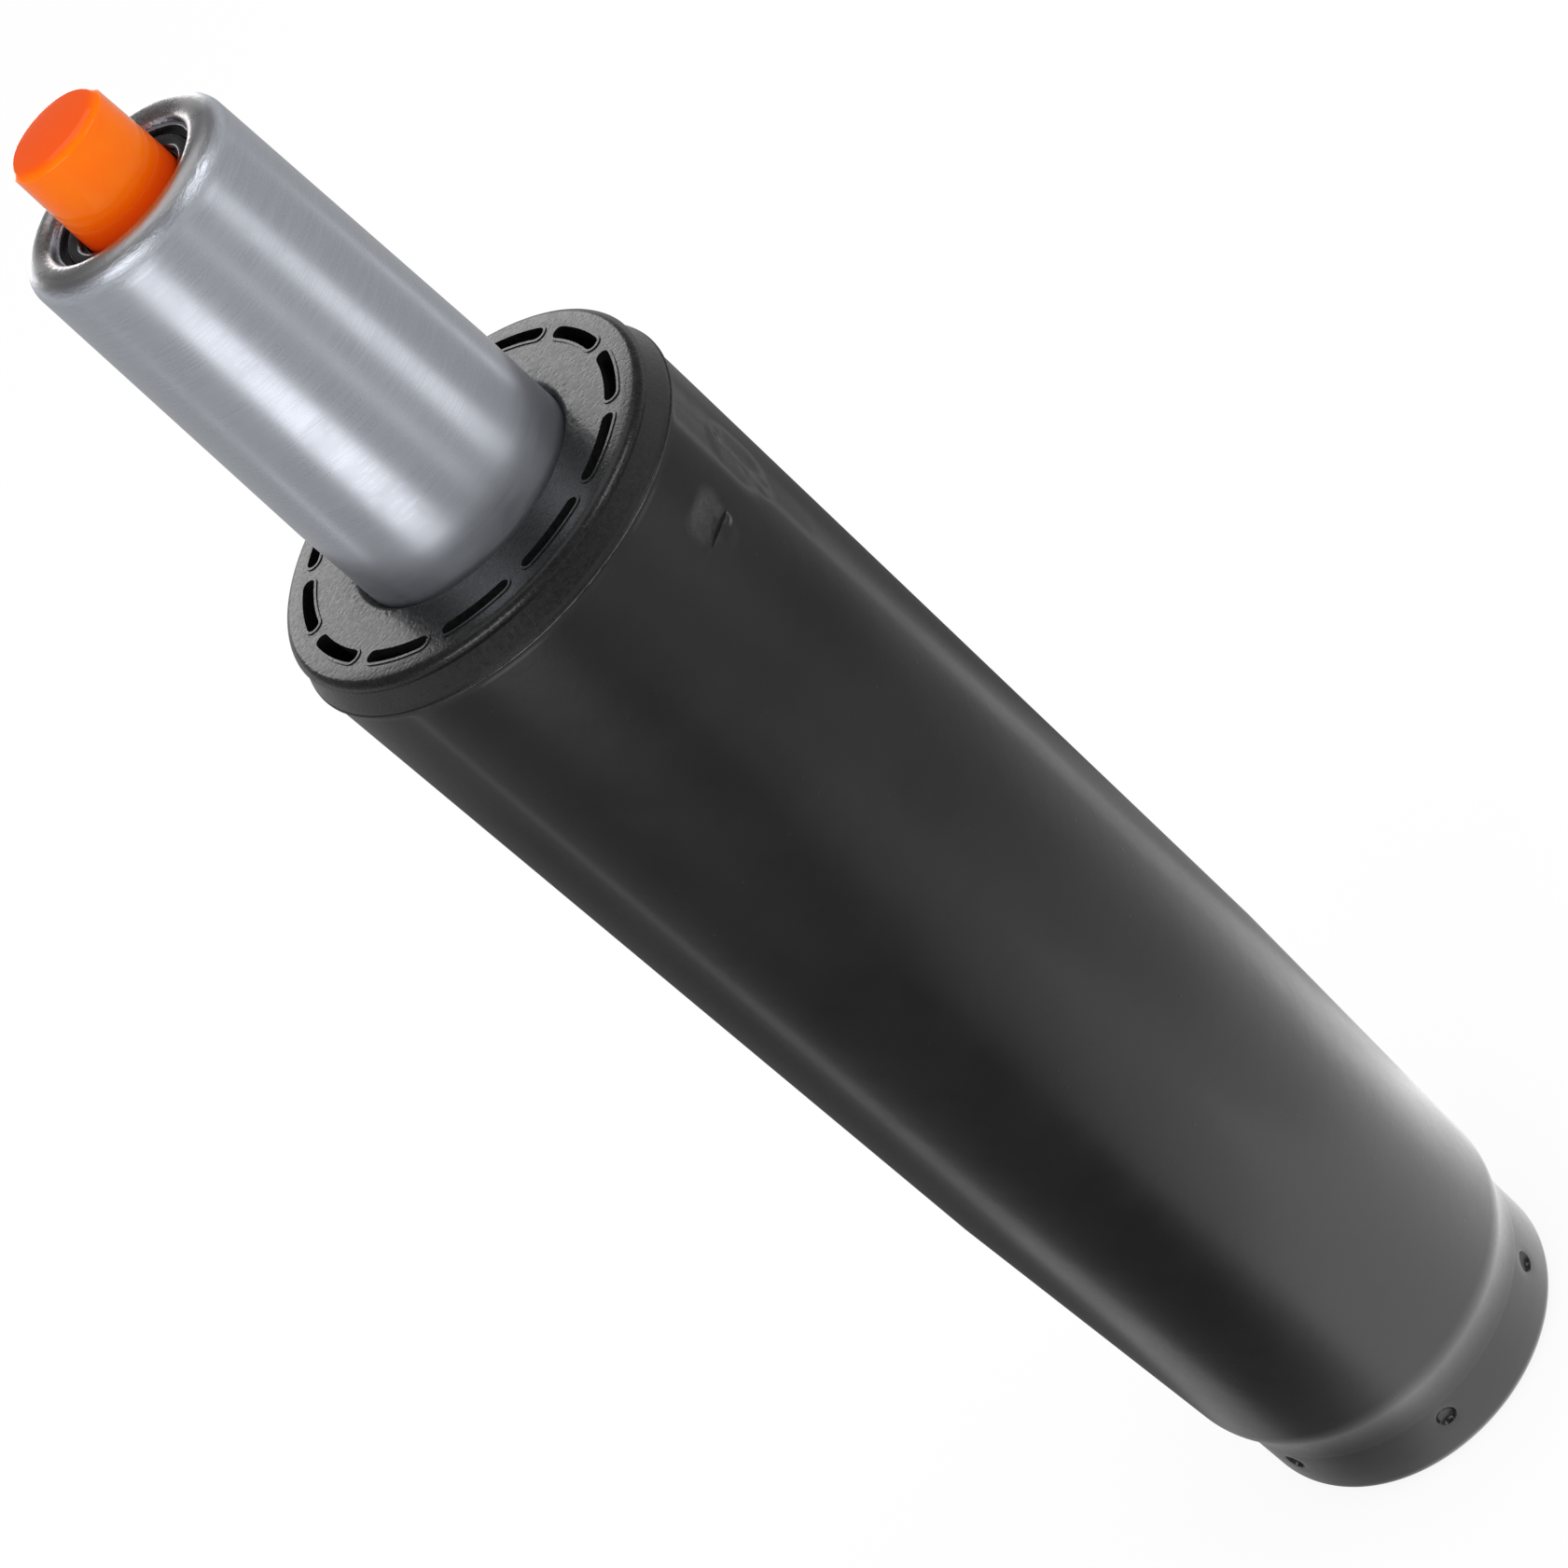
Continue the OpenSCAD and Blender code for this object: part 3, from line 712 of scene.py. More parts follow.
@dataclass(frozen=True)
class FlangePlastic:
    """Satin black plastic of the guide sleeve, with a leathery moulded grain.

    Attributes:
        name: Name of the material.
        dark: Colour in the hollows of the grain.
        light: Colour on its tops.
        grain: Size of the grain.
        relief: Depth of the grain.
        flow_width: Width of the ring round the bore that shows how the plastic flowed.
    """

    name: str = "black_moulded_plastic"
    dark: Colour = (0.005, 0.005, 0.005)
    light: Colour = (0.011, 0.011, 0.0108)
    grain: float = 0.6
    relief: float = 0.035
    flow_width: float = 5.0

    def build(self) -> Material:
        """Builds the material.

        Returns:
            The material.
        """
        sheet = NodeSheet(bpy.data.materials.new(self.name))
        leather = sheet.noise(self.grain, detail=4, roughness=0.65)
        pits = sheet.between(sheet.cells(self.grain * 0.8), 0.0, 0.5)
        flow = sheet.noise(3.0, detail=5, roughness=0.7, distortion=2.5)
        near_bore = sheet.fade(sheet.radius(), BORE_RADIUS, BORE_RADIUS + self.flow_width, 1.0, 0.0)
        normal = sheet.relief(
            (sheet.times(flow, near_bore), self.relief * 3), (leather, self.relief), (pits, self.relief * 0.5)
        )
        rough = sheet.between(leather, 0.3, 0.75, 0.24, 0.38)
        colour = sheet.colours(leather, (0.3, self.dark), (0.75, self.light))
        return sheet.finish(
            colour, rough, normal, specular_ior_level=0.32, coat_weight=0.12, coat_roughness=0.08
        )


@dataclass(frozen=True)
class GroundSteel:
    """Bare steel of the pressure tube, ground round its axis, with a rolled rim darkened by painted shade.

    Attributes:
        rim_height: Height of the rim's flat face.
        wiper_height: Height below which the guide sleeve has dulled the steel.
        name: Name of the material.
        cool: Bluish colour of the ground steel.
        warm: Colour of its lighter streaks.
        scale: Colour of the rolled rim's face, darker than the steel as a painted shade for the dim
            reflection there.
        tint: Colour of the heat tint and dirt in the mouth.
    """

    rim_height: float
    wiper_height: float
    name: str = "ground_steel"
    cool: Colour = (0.50, 0.53, 0.595)
    warm: Colour = (0.55, 0.57, 0.61)
    scale: Colour = (0.40, 0.395, 0.40)
    tint: Colour = (0.30, 0.215, 0.20)

    def build(self) -> Material:
        """Builds the material.

        Returns:
            The material.
        """
        sheet = NodeSheet(bpy.data.materials.new(self.name))
        height, radius, top, hole = sheet.height(), sheet.radius(), self.rim_height, MOUTH_RADIUS
        grooves = sheet.noise(0.25, detail=2, roughness=0.6, stretch=(25, 25, 1))
        bands = sheet.noise(2.2, detail=2, stretch=(12, 12, 1))
        waves = sheet.noise(9, detail=1)
        stains = sheet.noise(7, detail=5, roughness=0.65, distortion=0.6)
        specks = sheet.noise(0.35, detail=2, roughness=0.7)
        satin = sheet.noise(0.16, detail=2, roughness=0.6)
        scuffs = sheet.noise(0.5, detail=4, roughness=0.7, stretch=(4, 4, 1), distortion=0.4)
        corner = sheet.fade(height, top - 3.6, top - 1.8)
        corner = sheet.times(corner, sheet.fade(radius, hole + 2.4, hole + 3.4))
        rim = sheet.fade(height, top - 1.2, top - 0.3)
        mouth = sheet.times(rim, sheet.fade(radius, hole + 0.2, hole + 2.2, 1.0, 0.0))
        lip = sheet.fade(radius, hole + 0.3, hole + 0.6, 1.0, 0.0)
        metal = sheet.colours(grooves, (0.3, self.cool), (0.75, self.warm))
        metal = sheet.blend(sheet.between(stains, 0.45, 0.8, 0.0, 0.35), metal, self.cool)
        # Painted shade: the rim's face is blended towards a darker grey that stands for a dim reflection.
        metal = sheet.blend(sheet.times(rim, sheet.between(stains, 0.2, 0.7, 1.0, 0.8)), metal, self.scale)
        metal = sheet.blend(sheet.times(mouth, sheet.between(specks, 0.4, 0.6)), metal, self.tint)
        rough = sheet.plus(
            sheet.between(grooves, 0.3, 0.75, 0.25, 0.30), sheet.between(stains, 0.4, 0.8, 0.0, 0.06)
        )
        rough = sheet.plus(rough, sheet.times(corner, 0.10))
        wiped = sheet.fade(height, self.wiper_height + 2, self.wiper_height + 11, 0.16, 0.0)
        rough = sheet.plus(rough, wiped)
        rough = sheet.math("SUBTRACT", rough, sheet.times(sheet.times(lip, rim), 0.22))
        normal = sheet.relief(
            (waves, 0.006), (bands, 0.002), (grooves, 0.0001), (satin, 0.0006),
            (sheet.times(scuffs, corner), 0.10), (sheet.times(specks, rim), 0.015),
        )
        return sheet.finish(metal, rough, normal, metallic=1.0)


@dataclass(frozen=True)
class ButtonPlastic:
    """Glossy orange plastic of the release button, with painted shade: a redder, darker end face, and a
    deeper red down in the mouth.

    Attributes:
        top: Height of the end face.
        root: Height at which the button meets the mouth.
        name: Name of the material.
        orange: Colour of the side.
        amber: Its second colour, in clouds.
        end_face_shade: Colour of the end face, a painted shade that makes it redder and darker.
        deep: Colour down in the mouth, a painted shade.
    """

    top: float
    root: float
    name: str = "orange_plastic"
    orange: Colour = (1.0, 0.185, 0.001)
    amber: Colour = (1.0, 0.165, 0.001)
    end_face_shade: Colour = (0.82, 0.085, 0.003)
    deep: Colour = (0.90, 0.060, 0.002)

    def build(self) -> Material:
        """Builds the material.

        Returns:
            The material.
        """
        sheet = NodeSheet(bpy.data.materials.new(self.name))
        cloud = sheet.noise(4, detail=3)
        fine = sheet.noise(0.4, detail=2)
        height = sheet.height()
        colour = sheet.colours(sheet.between(cloud, 0.3, 0.7), (0.0, self.orange), (1.0, self.amber))
        # Painted shade: the end face is blended to a darker red.
        colour = sheet.blend(sheet.fade(height, self.top - 0.9, self.top - 0.15), colour, self.end_face_shade)
        # Painted shade: the button darkens to a deeper red towards the mouth.
        low = sheet.fade(height, self.root - 2.2, self.root + 2.8, 1.0, 0.0)
        colour = sheet.blend(low, colour, self.deep)
        return sheet.finish(
            colour, sheet.between(fine, 0.3, 0.7, 0.08, 0.12), sheet.relief((cloud, 0.02), (fine, 0.003)),
            specular_ior_level=0.12, coat_weight=0.22, coat_roughness=0.05,
            subsurface_weight=0.06, subsurface_scale=0.0015,
        )


@dataclass(frozen=True)
class MouldedPlastic:
    """Plain moulded plastic.

    Attributes:
        name: Name of the material.
        colour: Its colour.
        gloss_roughness: Roughness between the grain's tops.
        relief: Depth of the grain.
        grain: Size of the grain.
    """

    name: str
    colour: Colour
    gloss_roughness: float
    relief: float = 0.01
    grain: float = 0.5

    def build(self) -> Material:
        """Builds the material.

        Returns:
            The material.
        """
        sheet = NodeSheet(bpy.data.materials.new(self.name))
        grain = sheet.noise(self.grain, detail=3, roughness=0.6)
        cloud = sheet.noise(self.grain * 12, detail=3)
        colour = sheet.colours(cloud, (0.35, tuple(c * 0.8 for c in self.colour)), (0.7, self.colour))
        rough = sheet.between(grain, 0.3, 0.7, self.gloss_roughness, self.gloss_roughness + 0.1)
        return sheet.finish(colour, rough, sheet.relief((grain, self.relief)))


@dataclass(frozen=True)
class Rubber:
    """Moulded rubber with a dusty, mottled surface.

    Attributes:
        name: Name of the material.
        colour: Its colour.
    """

    name: str
    colour: Colour

    def build(self) -> Material:
        """Builds the material.

        Returns:
            The material.
        """
        sheet = NodeSheet(bpy.data.materials.new(self.name))
        mottle = sheet.noise(1.4, detail=5, roughness=0.7)
        fine = sheet.noise(0.12, detail=2)
        dusty = tuple(c * 1.5 + 0.004 for c in self.colour)
        colour = sheet.colours(mottle, (0.4, self.colour), (0.8, dusty))
        normal = sheet.relief((mottle, 0.02), (fine, 0.008))
        rough = sheet.between(mottle, 0.3, 0.7, 0.55, 0.75)
        return sheet.finish(colour, rough, normal, specular_ior_level=0.4)


@dataclass(frozen=True)
class MachinedMetal:
    """Metal that was turned, drawn or plated, with fine marks round the axis.

    Attributes:
        name: Name of the material.
        colour: Its colour.
        roughness: Roughness of the clean surface.
        pitch: Distance between tool marks.
        marks: Depth of the tool marks.
        dull: Colour where the surface is dull, as a share of the clean colour.
    """

    name: str
    colour: Colour
    roughness: float
    pitch: float = 0.25
    marks: float = 0.003
    dull: float = 0.75

    def build(self) -> Material:
        """Builds the material.

        Returns:
            The material.
        """
        sheet = NodeSheet(bpy.data.materials.new(self.name))
        rings = sheet.noise(self.pitch, detail=3, roughness=0.65, stretch=(20, 20, 1))
        cloud = sheet.noise(5, detail=5, roughness=0.65)
        colour = sheet.colours(cloud, (0.35, tuple(c * self.dull for c in self.colour)), (0.7, self.colour))
        rough = sheet.between(cloud, 0.3, 0.75, self.roughness + 0.1, self.roughness)
        return sheet.finish(colour, rough, sheet.relief((rings, self.marks)), metallic=1.0)


@dataclass
class Finishes:
    """All finishes of the object, built once each.

    Attributes:
        by_slot: Material of each of the record's slots.
    """

    by_slot: dict[Slot, Material] = field(default_factory=dict)

    def build(self, tube: "StandingTube") -> None:
        """Builds every material.

        Args:
            tube: The standing tube, whose marks the paint follows.
        """
        rim, flange = top_of("pressure_tube"), top_of("guide_bushing")
        recipes = {
            Slot.BLACK_PAINT: PowderPaint(tube.height, tube.matt_sheen_patches()),
            Slot.BLACK_PLASTIC: FlangePlastic(),
            Slot.BARE_STEEL: GroundSteel(rim, flange),
            Slot.ORANGE_PLASTIC: ButtonPlastic(top_of("release_button"), rim),
            Slot.VALVE_PLASTIC: MouldedPlastic("glossy_black_plastic", (0.010, 0.010, 0.011), 0.06, 0.004),
            Slot.PLATED_STEEL: MachinedMetal("zinc_plated_steel", (0.60, 0.61, 0.60), 0.34, dull=0.8),
            Slot.BEARING_STEEL: MachinedMetal("bearing_steel", (0.62, 0.64, 0.66), 0.12, 0.15, 0.001),
            Slot.HARD_CHROME: MachinedMetal("hard_chrome", (0.70, 0.72, 0.74), 0.08, 0.1, 0.0008, 0.92),
            Slot.INNER_STEEL: MachinedMetal("drawn_steel", (0.52, 0.54, 0.56), 0.28),
            Slot.SPRING_STEEL: MachinedMetal("blued_spring_steel", (0.11, 0.12, 0.15), 0.30, dull=0.6),
            Slot.LIGHT_ALLOY: MachinedMetal("die_cast_alloy", (0.56, 0.57, 0.58), 0.40, 0.4, 0.006),
            Slot.BRASS: MachinedMetal("turned_brass", (0.72, 0.50, 0.20), 0.26, 0.3, 0.005),
            Slot.NATURAL_PLASTIC: MouldedPlastic("natural_plastic", (0.68, 0.60, 0.42), 0.38),
            Slot.GREY_RUBBER: Rubber("grey_rubber", (0.030, 0.030, 0.028)),
            Slot.BLACK_RUBBER: Rubber("black_rubber", (0.012, 0.012, 0.012)),
            Slot.BROWN_RUBBER: Rubber("brown_rubber", (0.100, 0.045, 0.030)),
        }
        self.by_slot = {slot: recipe.build() for slot, recipe in recipes.items()}

    def put_on(self, piece: Piece, slot: Slot) -> None:
        """Gives a new piece its only material, and logs its faces and slot.

        Args:
            piece: The new mesh object.
            slot: The record's slot of that finish.
        """
        piece.data.materials.clear()
        piece.data.materials.append(self.by_slot[slot])
        log.info("%s: %d faces, %s", piece.name, len(piece.data.polygons), slot.value)


@dataclass
class StandingTube:
    """The painted standing tube, with its tapered foot, rolled lip, crimps and punch marks."""

    finishes: Finishes
    wall: float = 1.5
    taper_height: float = 66.0
    taper_degrees: float = 1.4377
    shoulder_height: float = 18.0
    shoulder_step: float = 1.85
    shoulder_radius: float = 8.4
    neck_radius: float = 15.0
    foot_edge_radius: float = 2.1
    lip_width: float = 5.0
    lip_round: float = 0.3
    rim_round: float = 0.7
    marked_height: float = 24.0
    lance_degrees: float = -52.8
    lance_cut_drop: float = 10.3
    cut_gap: float = 0.05
    crimp_degrees: float = -27.0
    crimp_drop: float = 10.6
    punch_height: float = 6.9
    punch_width: float = 2.5
    punch_degrees: float = 20.0
    punch_count: int = 6
    crimp_refined: float = 6.5
    lance_refined: float = 4.8
    punch_refined: float = 2.0
    sides: int = 512

    def __post_init__(self) -> None:
        """Works out the sizes that follow from the frame and the fields."""
        self.radius = TUBE_RADIUS
        self.height = top_of("outer_tube")
        self.cut = self.height - self.lance_cut_drop
        run_down = math.tan(math.radians(self.taper_degrees)) * (self.taper_height - self.shoulder_height)
        self.taper_end = self.radius - run_down
        self.ring_radius = self.taper_end - self.shoulder_step
        both = self.shoulder_radius + self.neck_radius
        self.shoulder_degrees = math.degrees(math.acos(1 - self.shoulder_step / both))
        self.neck_height = self.shoulder_height - both * math.sin(math.radians(self.shoulder_degrees))
        self.punches = [self.punch_degrees + i * 360 / self.punch_count for i in range(self.punch_count)]

    def foot_side(self, depth: float, pieces: int) -> Outline:
        """Gives one face of the foot's wall, from the shoulder down to the lip.

        Args:
            depth: Distance of the face below the outer face.
            pieces: Number of straight pieces in each arc.

        Returns:
            The points from the shoulder's start to the lip's inner edge.
        """
        shoulder = arc(
            (self.taper_end - self.shoulder_radius, self.shoulder_height),
            self.shoulder_radius - depth, 0, -self.shoulder_degrees, pieces,
        )
        neck = arc(
            (self.ring_radius + self.neck_radius, self.neck_height),
            self.neck_radius + depth, 180 - self.shoulder_degrees, 180, pieces,
        )
        edge = arc(
            (self.ring_radius - self.foot_edge_radius, self.foot_edge_radius),
            self.foot_edge_radius - depth, 0, -90, pieces,
        )
        return shoulder + neck + edge + [(self.ring_radius - self.lip_width, depth)]

    def outline(self) -> Outline:
        """Gives the wall's section, close-set where the marks are pressed in.

        Returns:
            The points in order round the section.
        """
        r, top, cut, ring = self.radius, self.height, self.cut, self.ring_radius
        inside, marked, turn = r - self.wall, top - self.marked_height, self.lip_round
        fine, finer, long, margin = 0.45, 0.28, 14, 2.4
        points = arc((r - self.rim_round, top - self.rim_round), self.rim_round, 90, 0, 4)
        points += run((r, top - self.rim_round), (r, cut + self.cut_gap), fine)
        points += run((r, cut), (r, marked), fine)
        points += run((r, marked), (r, self.taper_height), long)
        foot = self.foot_side(0, 12)
        high, low = self.punch_height + margin, self.punch_height - margin
        lip = ring - self.lip_width
        points += [p for p in foot if p[1] > high]
        points += run((ring, high), (ring, low), finer)
        points += [p for p in foot if p[1] < low and p[0] > lip + 0.1]
        points += arc((lip + turn, turn), turn, -90, -180, 3)
        points += arc((lip + turn, self.wall - turn), turn, 180, 90, 3)
        points += list(reversed(self.foot_side(self.wall, 6)))[1:]
        points += run((inside, self.taper_height), (inside, marked), 30)
        points += run((inside, marked), (inside, top - turn), 3)
        return points + [(inside + turn, top)]

    def matt_sheen_patches(self) -> tuple[MattSheenPatch, ...]:
        """Lists the patches that the press left matt, which also get a painted sheen.

        Returns:
            The patches.
        """
        patches = []
        for side in HALF_TURNS:
            for along in (-2.6, 2.6):
                pad = on_wall(self.lance_degrees + side + along, self.radius - 0.3, self.cut + 2.3)
                patches.append(MattSheenPatch(tuple(pad), reach=2.7, share=0.6))
            dent = on_wall(self.crimp_degrees + side, self.radius - 0.6, self.height - self.crimp_drop)
            patches.append(MattSheenPatch(tuple(dent), reach=3.6, share=0.4))
        return tuple(patches)

    def refine(self, piece: Piece) -> None:
        """Divides the wall's faces where a small mark is pressed in.

        Args:
            piece: The tube, before its marks.
        """
        dent = self.height - self.crimp_drop
        places = [(self.crimp_degrees + side, self.radius, dent, self.crimp_refined) for side in HALF_TURNS]
        lance = self.cut + 1
        places += [(self.lance_degrees + side, self.radius, lance, self.lance_refined) for side in HALF_TURNS]
        reach = self.punch_refined
        places += [(degrees, self.ring_radius, self.punch_height, reach) for degrees in self.punches]
        for *spot, reach in places:
            pick(piece, near(on_wall(*spot), reach))
            with editing(piece):
                bpy.ops.mesh.subdivide(number_cuts=1)

    def marks(self) -> list[Push]:
        """Lists the marks that are pressed into the wall.

        Returns:
            The pushes, in the order of the press.
        """
        r, top, cut, ring = self.radius, self.height, self.cut, self.ring_radius
        gap = cut + self.cut_gap / 2
        dent = top - self.crimp_drop
        marks = []
        for side in HALF_TURNS:
            crimp, lance = self.crimp_degrees + side, self.lance_degrees + side
            marks += [
                Push(crimp - 1, r, top - 6, depth=0.30, core=0.5, reach=4.3, length=12),
                Push(crimp, r, top - 19, depth=0.10, core=0.3, reach=2.8, length=8),
                Push(crimp, r - 0.30, dent, depth=0.28, core=0.3, reach=3.7, length=2),
                Push(crimp - 3, r, dent - 5, depth=0.10, core=0.2, reach=1.8),
                Push(
                    crimp + 2.5, r - 0.5, dent + 2.4, depth=-0.09, core=0.15, reach=0.9, falloff=Falloff.CONE
                ),
                Push(
                    crimp - 2, r - 0.5, dent - 1.8, depth=-0.09, core=0.15, reach=1.0, falloff=Falloff.CONE
                ),
                Push(lance, r, cut + 1.3, depth=0.36, core=0.8, reach=2.8, floor=gap),
                Push(lance, r, cut - 0.8, depth=-0.12, core=0.5, reach=2.0, ceiling=gap),
                Push(lance + 3.5, r + 0.1, cut - 0.35, depth=-0.24, core=0.25, reach=0.75, ceiling=gap),
            ]
        reach = self.punch_width / 2 - 0.1
        for degrees in self.punches:
            marks += [
                Push(degrees, ring, self.punch_height, depth=0.12, core=0.3, reach=2.2),
                Push(
                    degrees, ring - 0.12, self.punch_height,
                    depth=0.75, core=0.2, reach=reach, falloff=Falloff.ROUND,
                ),
            ]
        return marks

    def build(self) -> None:
        """Turns the tube, presses its marks, paints it and fixes it to the frame."""
        piece = turned("painted_tube", self.outline(), self.sides)
        self.refine(piece)
        for mark in self.marks():
            mark.apply(piece)
        smooth(piece, degrees=38)
        self.finishes.put_on(piece, Slot.BLACK_PAINT)
        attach(piece, Body.STANDING_TUBE.value)
        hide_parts("outer_tube")


@dataclass
class GuideSleeve:
    """The moulded guide sleeve with its slotted flange."""

    finishes: Finishes
    sleeve_radius: float = 23.4
    sleeve_wall: float = 2.6
    flange_lean: float = 1.05
    flange_edge_width: float = 0.8
    flange_edge_height: float = 1.5
    lead_in: float = 0.8
    slot_count: int = 12
    slot_radius: float = 20.8
    slot_width: float = 1.6
    slot_span: float = 20.0
    slot_degrees: float = 9.0
    slot_cap: float = 4.0
    rib_degrees: float = 4.0
    hollow_step: float = 0.4
    seam_bead: float = 0.14
    flash_width: float = 0.32
    flash_height: float = 0.12
    burr_width: float = 1.9
    burr_size: float = 0.025
    flash_root: float = 0.5
    overshoot: float = 1.0
    end_inset: float = 0.02
    slot_steps: int = 20
    end_sides: int = 28
    hollow_steps: int = 26
    sides: int = 384

    def __post_init__(self) -> None:
        """Works out the heights from the frame, and the angles of the slots."""
        self.top = top_of("guide_bushing")
        self.bottom = bottom_of("guide_bushing")
        self.tube_top = top_of("outer_tube")
        self.slot_angles = [self.slot_degrees + i * 360 / self.slot_count for i in range(self.slot_count)]

    def outline(self) -> Outline:
        """Gives the section of the sleeve and its flange.

        Returns:
            The points in order round the section.
        """
        rim, bore, top, bottom, lead = FLANGE_RADIUS, BORE_RADIUS, self.top, self.bottom, self.lead_in
        shelf = rim - self.flange_lean
        face = shelf - self.flange_edge_width
        edge_low = top - self.flange_edge_height
        hole = bore + lead
        points = [(bore, bottom + lead), (hole, bottom)]
        points += [(self.sleeve_radius - lead, bottom), (self.sleeve_radius, bottom + lead)]
        points += [(self.sleeve_radius, self.tube_top), (rim - 0.2, self.tube_top)]
        bead = self.seam_bead
        points += arc((rim - bead, self.tube_top + bead), bead * 1.4, -60, 75, 6)
        points += run((rim - 0.1, self.tube_top + 0.5), (shelf + 0.1, edge_low - 0.25), 0.5)
        points += [(shelf, edge_low)]
        points += arc((face - 0.2, edge_low + 0.15), 1.35, 18, 80, 7)
        points += [(face - 0.45, top - 0.03)]
        points += run((face - 0.7, top), (bore + 2.2, top), 0.9)
        points += run((bore + 2.0, top), (hole, top - 0.02), 0.22)
        points += run((hole - 0.2, top - 0.12), (bore, top - lead), 0.25)
        points += run((bore, top - lead - 1), (bore, bottom + lead + 1), 30)
        return points

    def along_slots(self, grow: float, low: float, high: float) -> list[Piece]:
        """Makes tools in the shape of the slots: the arcs in one, their round ends in another.

        Args:
            grow: How much wider than the slot the shape is, on each side.
            low: Height of its underside.
            high: Height of its top.

        Returns:
            The two tools.
        """
        half, r = self.slot_width / 2 + grow, self.slot_radius
        section = [(r - half, low), (r + half, low), (r + half, high), (r - half, high)]
        arcs = copies_round(sector("slot_arc", section, self.slot_span, self.slot_steps), self.slot_angles)
        bpy.ops.object.select_all(action="DESELECT")
        bpy.ops.mesh.primitive_cylinder_add(
            vertices=self.end_sides, radius=(half - self.end_inset) * MM, depth=(high - low) * MM,
            location=(r * MM, 0, (low + high) / 2 * MM),
        )
        end = bpy.context.object
        bpy.ops.object.transform_apply(location=True, rotation=True, scale=True)
        reach = self.slot_span / 2
        return [arcs, copies_round(end, [a + side for a in self.slot_angles for side in (-reach, reach)])]

    def build(self) -> None:
        """Turns the sleeve, moulds its flash, cuts its slots and hollows, and fixes it."""
        piece = turned("guide_sleeve", self.outline(), self.sides)
        root, crest = self.top - self.flash_root, self.top + self.flash_height
        for tool in self.along_slots(self.flash_width, root, crest):
            carve(piece, tool, "UNION")
        hollow_top = self.tube_top - self.slot_cap
        for tool in self.along_slots(0.0, hollow_top - self.overshoot, self.top + self.overshoot):
            carve(piece, tool)
        inside = BORE_RADIUS + self.sleeve_wall
        outside = self.slot_radius + self.slot_width / 2 + self.hollow_step
        low = self.bottom - self.overshoot
        section = [(inside, low), (outside, low), (outside, hollow_top), (inside, hollow_top)]
        span = 360 / self.slot_count - self.rib_degrees
        hollow = sector("hollow", section, span, self.hollow_steps)
        carve(piece, copies_round(hollow, self.slot_angles))
        self.roughen(piece)
        smooth(piece, degrees=32)
        self.finishes.put_on(piece, Slot.BLACK_PLASTIC)
        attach(piece, Body.STANDING_TUBE.value)
        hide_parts("guide_bushing")

    def roughen(self, piece: Piece) -> None:
        """Makes the flange's face uneven round the bore, as the moulding left it.

        Args:
            piece: The sleeve.
        """
        pick_ring(piece, BORE_RADIUS + 0.2, BORE_RADIUS + self.burr_width, self.top - 0.5)
        with editing(piece):
            bpy.ops.transform.vertex_random(offset=self.burr_size * MM, uniform=0.6, normal=0.5, seed=4)


@dataclass
class PressureTube:
    """The ground steel pressure tube, rolled in at both ends."""

    finishes: Finishes
    radius: float = 14.0
    wall: float = 1.8
    straight_out: float = 10.4
    seat_degrees: float = 1.4377
    rim_round: float = 2.4
    mouth_radius: float = 10.4
    mouth_depth: float = 1.6
    mouth_round: float = 1.5
    bead: float = 0.22
    burr_size: float = 0.012
    rim_thickness: float = 2.6
    end_hole: float = 9.0
    end_round: float = 0.4
    sides: int = 384

    def __post_init__(self) -> None:
        """Works out the heights from the frame."""
        self.top = top_of("pressure_tube")
        self.bottom = bottom_of("pressure_tube")
        self.cone_start = top_of("guide_bushing") + self.straight_out

    def outer(self, height: float) -> float:
        """Gives the tube's outer radius at a height."""
        return self.radius - math.tan(math.radians(self.seat_degrees)) * max(0.0, height - self.cone_start)

    def outline(self) -> Outline:
        """Gives the section of the wall, with its rolled ends and the mouth.

        Returns:
            The points in order round the section.
        """
        r, top, bottom, cone, rounding = self.radius, self.top, self.bottom, self.cone_start, self.rim_round
        edge_height = top - rounding
        edge_radius = self.outer(edge_height)
        lid = top - self.rim_thickness
        bead_radius, slope_foot = MOUTH_RADIUS + self.bead, top - self.mouth_depth
        points = arc((self.end_hole + self.end_round, bottom + self.end_round), self.end_round, 180, 270, 3)
        points += arc((r - rounding, bottom + rounding), rounding, -90, 0, 8)
        points += run((r, bottom + rounding), (r, cone), 20)
        points += run((r, cone), (edge_radius, edge_height), 4)
        points += arc((edge_radius - rounding, edge_height), rounding, 0, 90, 16)
        points += arc((self.mouth_radius + 0.1, top - self.mouth_round), self.mouth_round, 90, 150, 8)
        points += run(points[-1], (bead_radius, slope_foot + 0.3), 0.25)
        points += arc((bead_radius, slope_foot + 0.05), self.bead, 90, 180, 4)
        points += run((MOUTH_RADIUS, slope_foot), (MOUTH_RADIUS, lid), 0.5)
        points += [(self.outer(lid) - self.wall, lid), (r - self.wall, cone)]
        return points + [(r - self.wall, bottom + self.wall), (self.end_hole, bottom + self.wall)]

    def build(self) -> None:
        """Turns the tube, leaves small burrs in its mouth, gives it its steel and fixes it."""
        piece = turned("steel_tube", self.outline(), self.sides)
        pick_ring(piece, MOUTH_RADIUS + 0.1, self.mouth_radius + 0.2, self.top - self.mouth_round)
        with editing(piece):
            bpy.ops.transform.vertex_random(offset=self.burr_size * MM, uniform=0.5, normal=0.5, seed=9)
        smooth(piece, degrees=35)
        self.finishes.put_on(piece, Slot.BARE_STEEL)
        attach(piece, Body.LIFT_TUBE.value)
        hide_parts("pressure_tube")


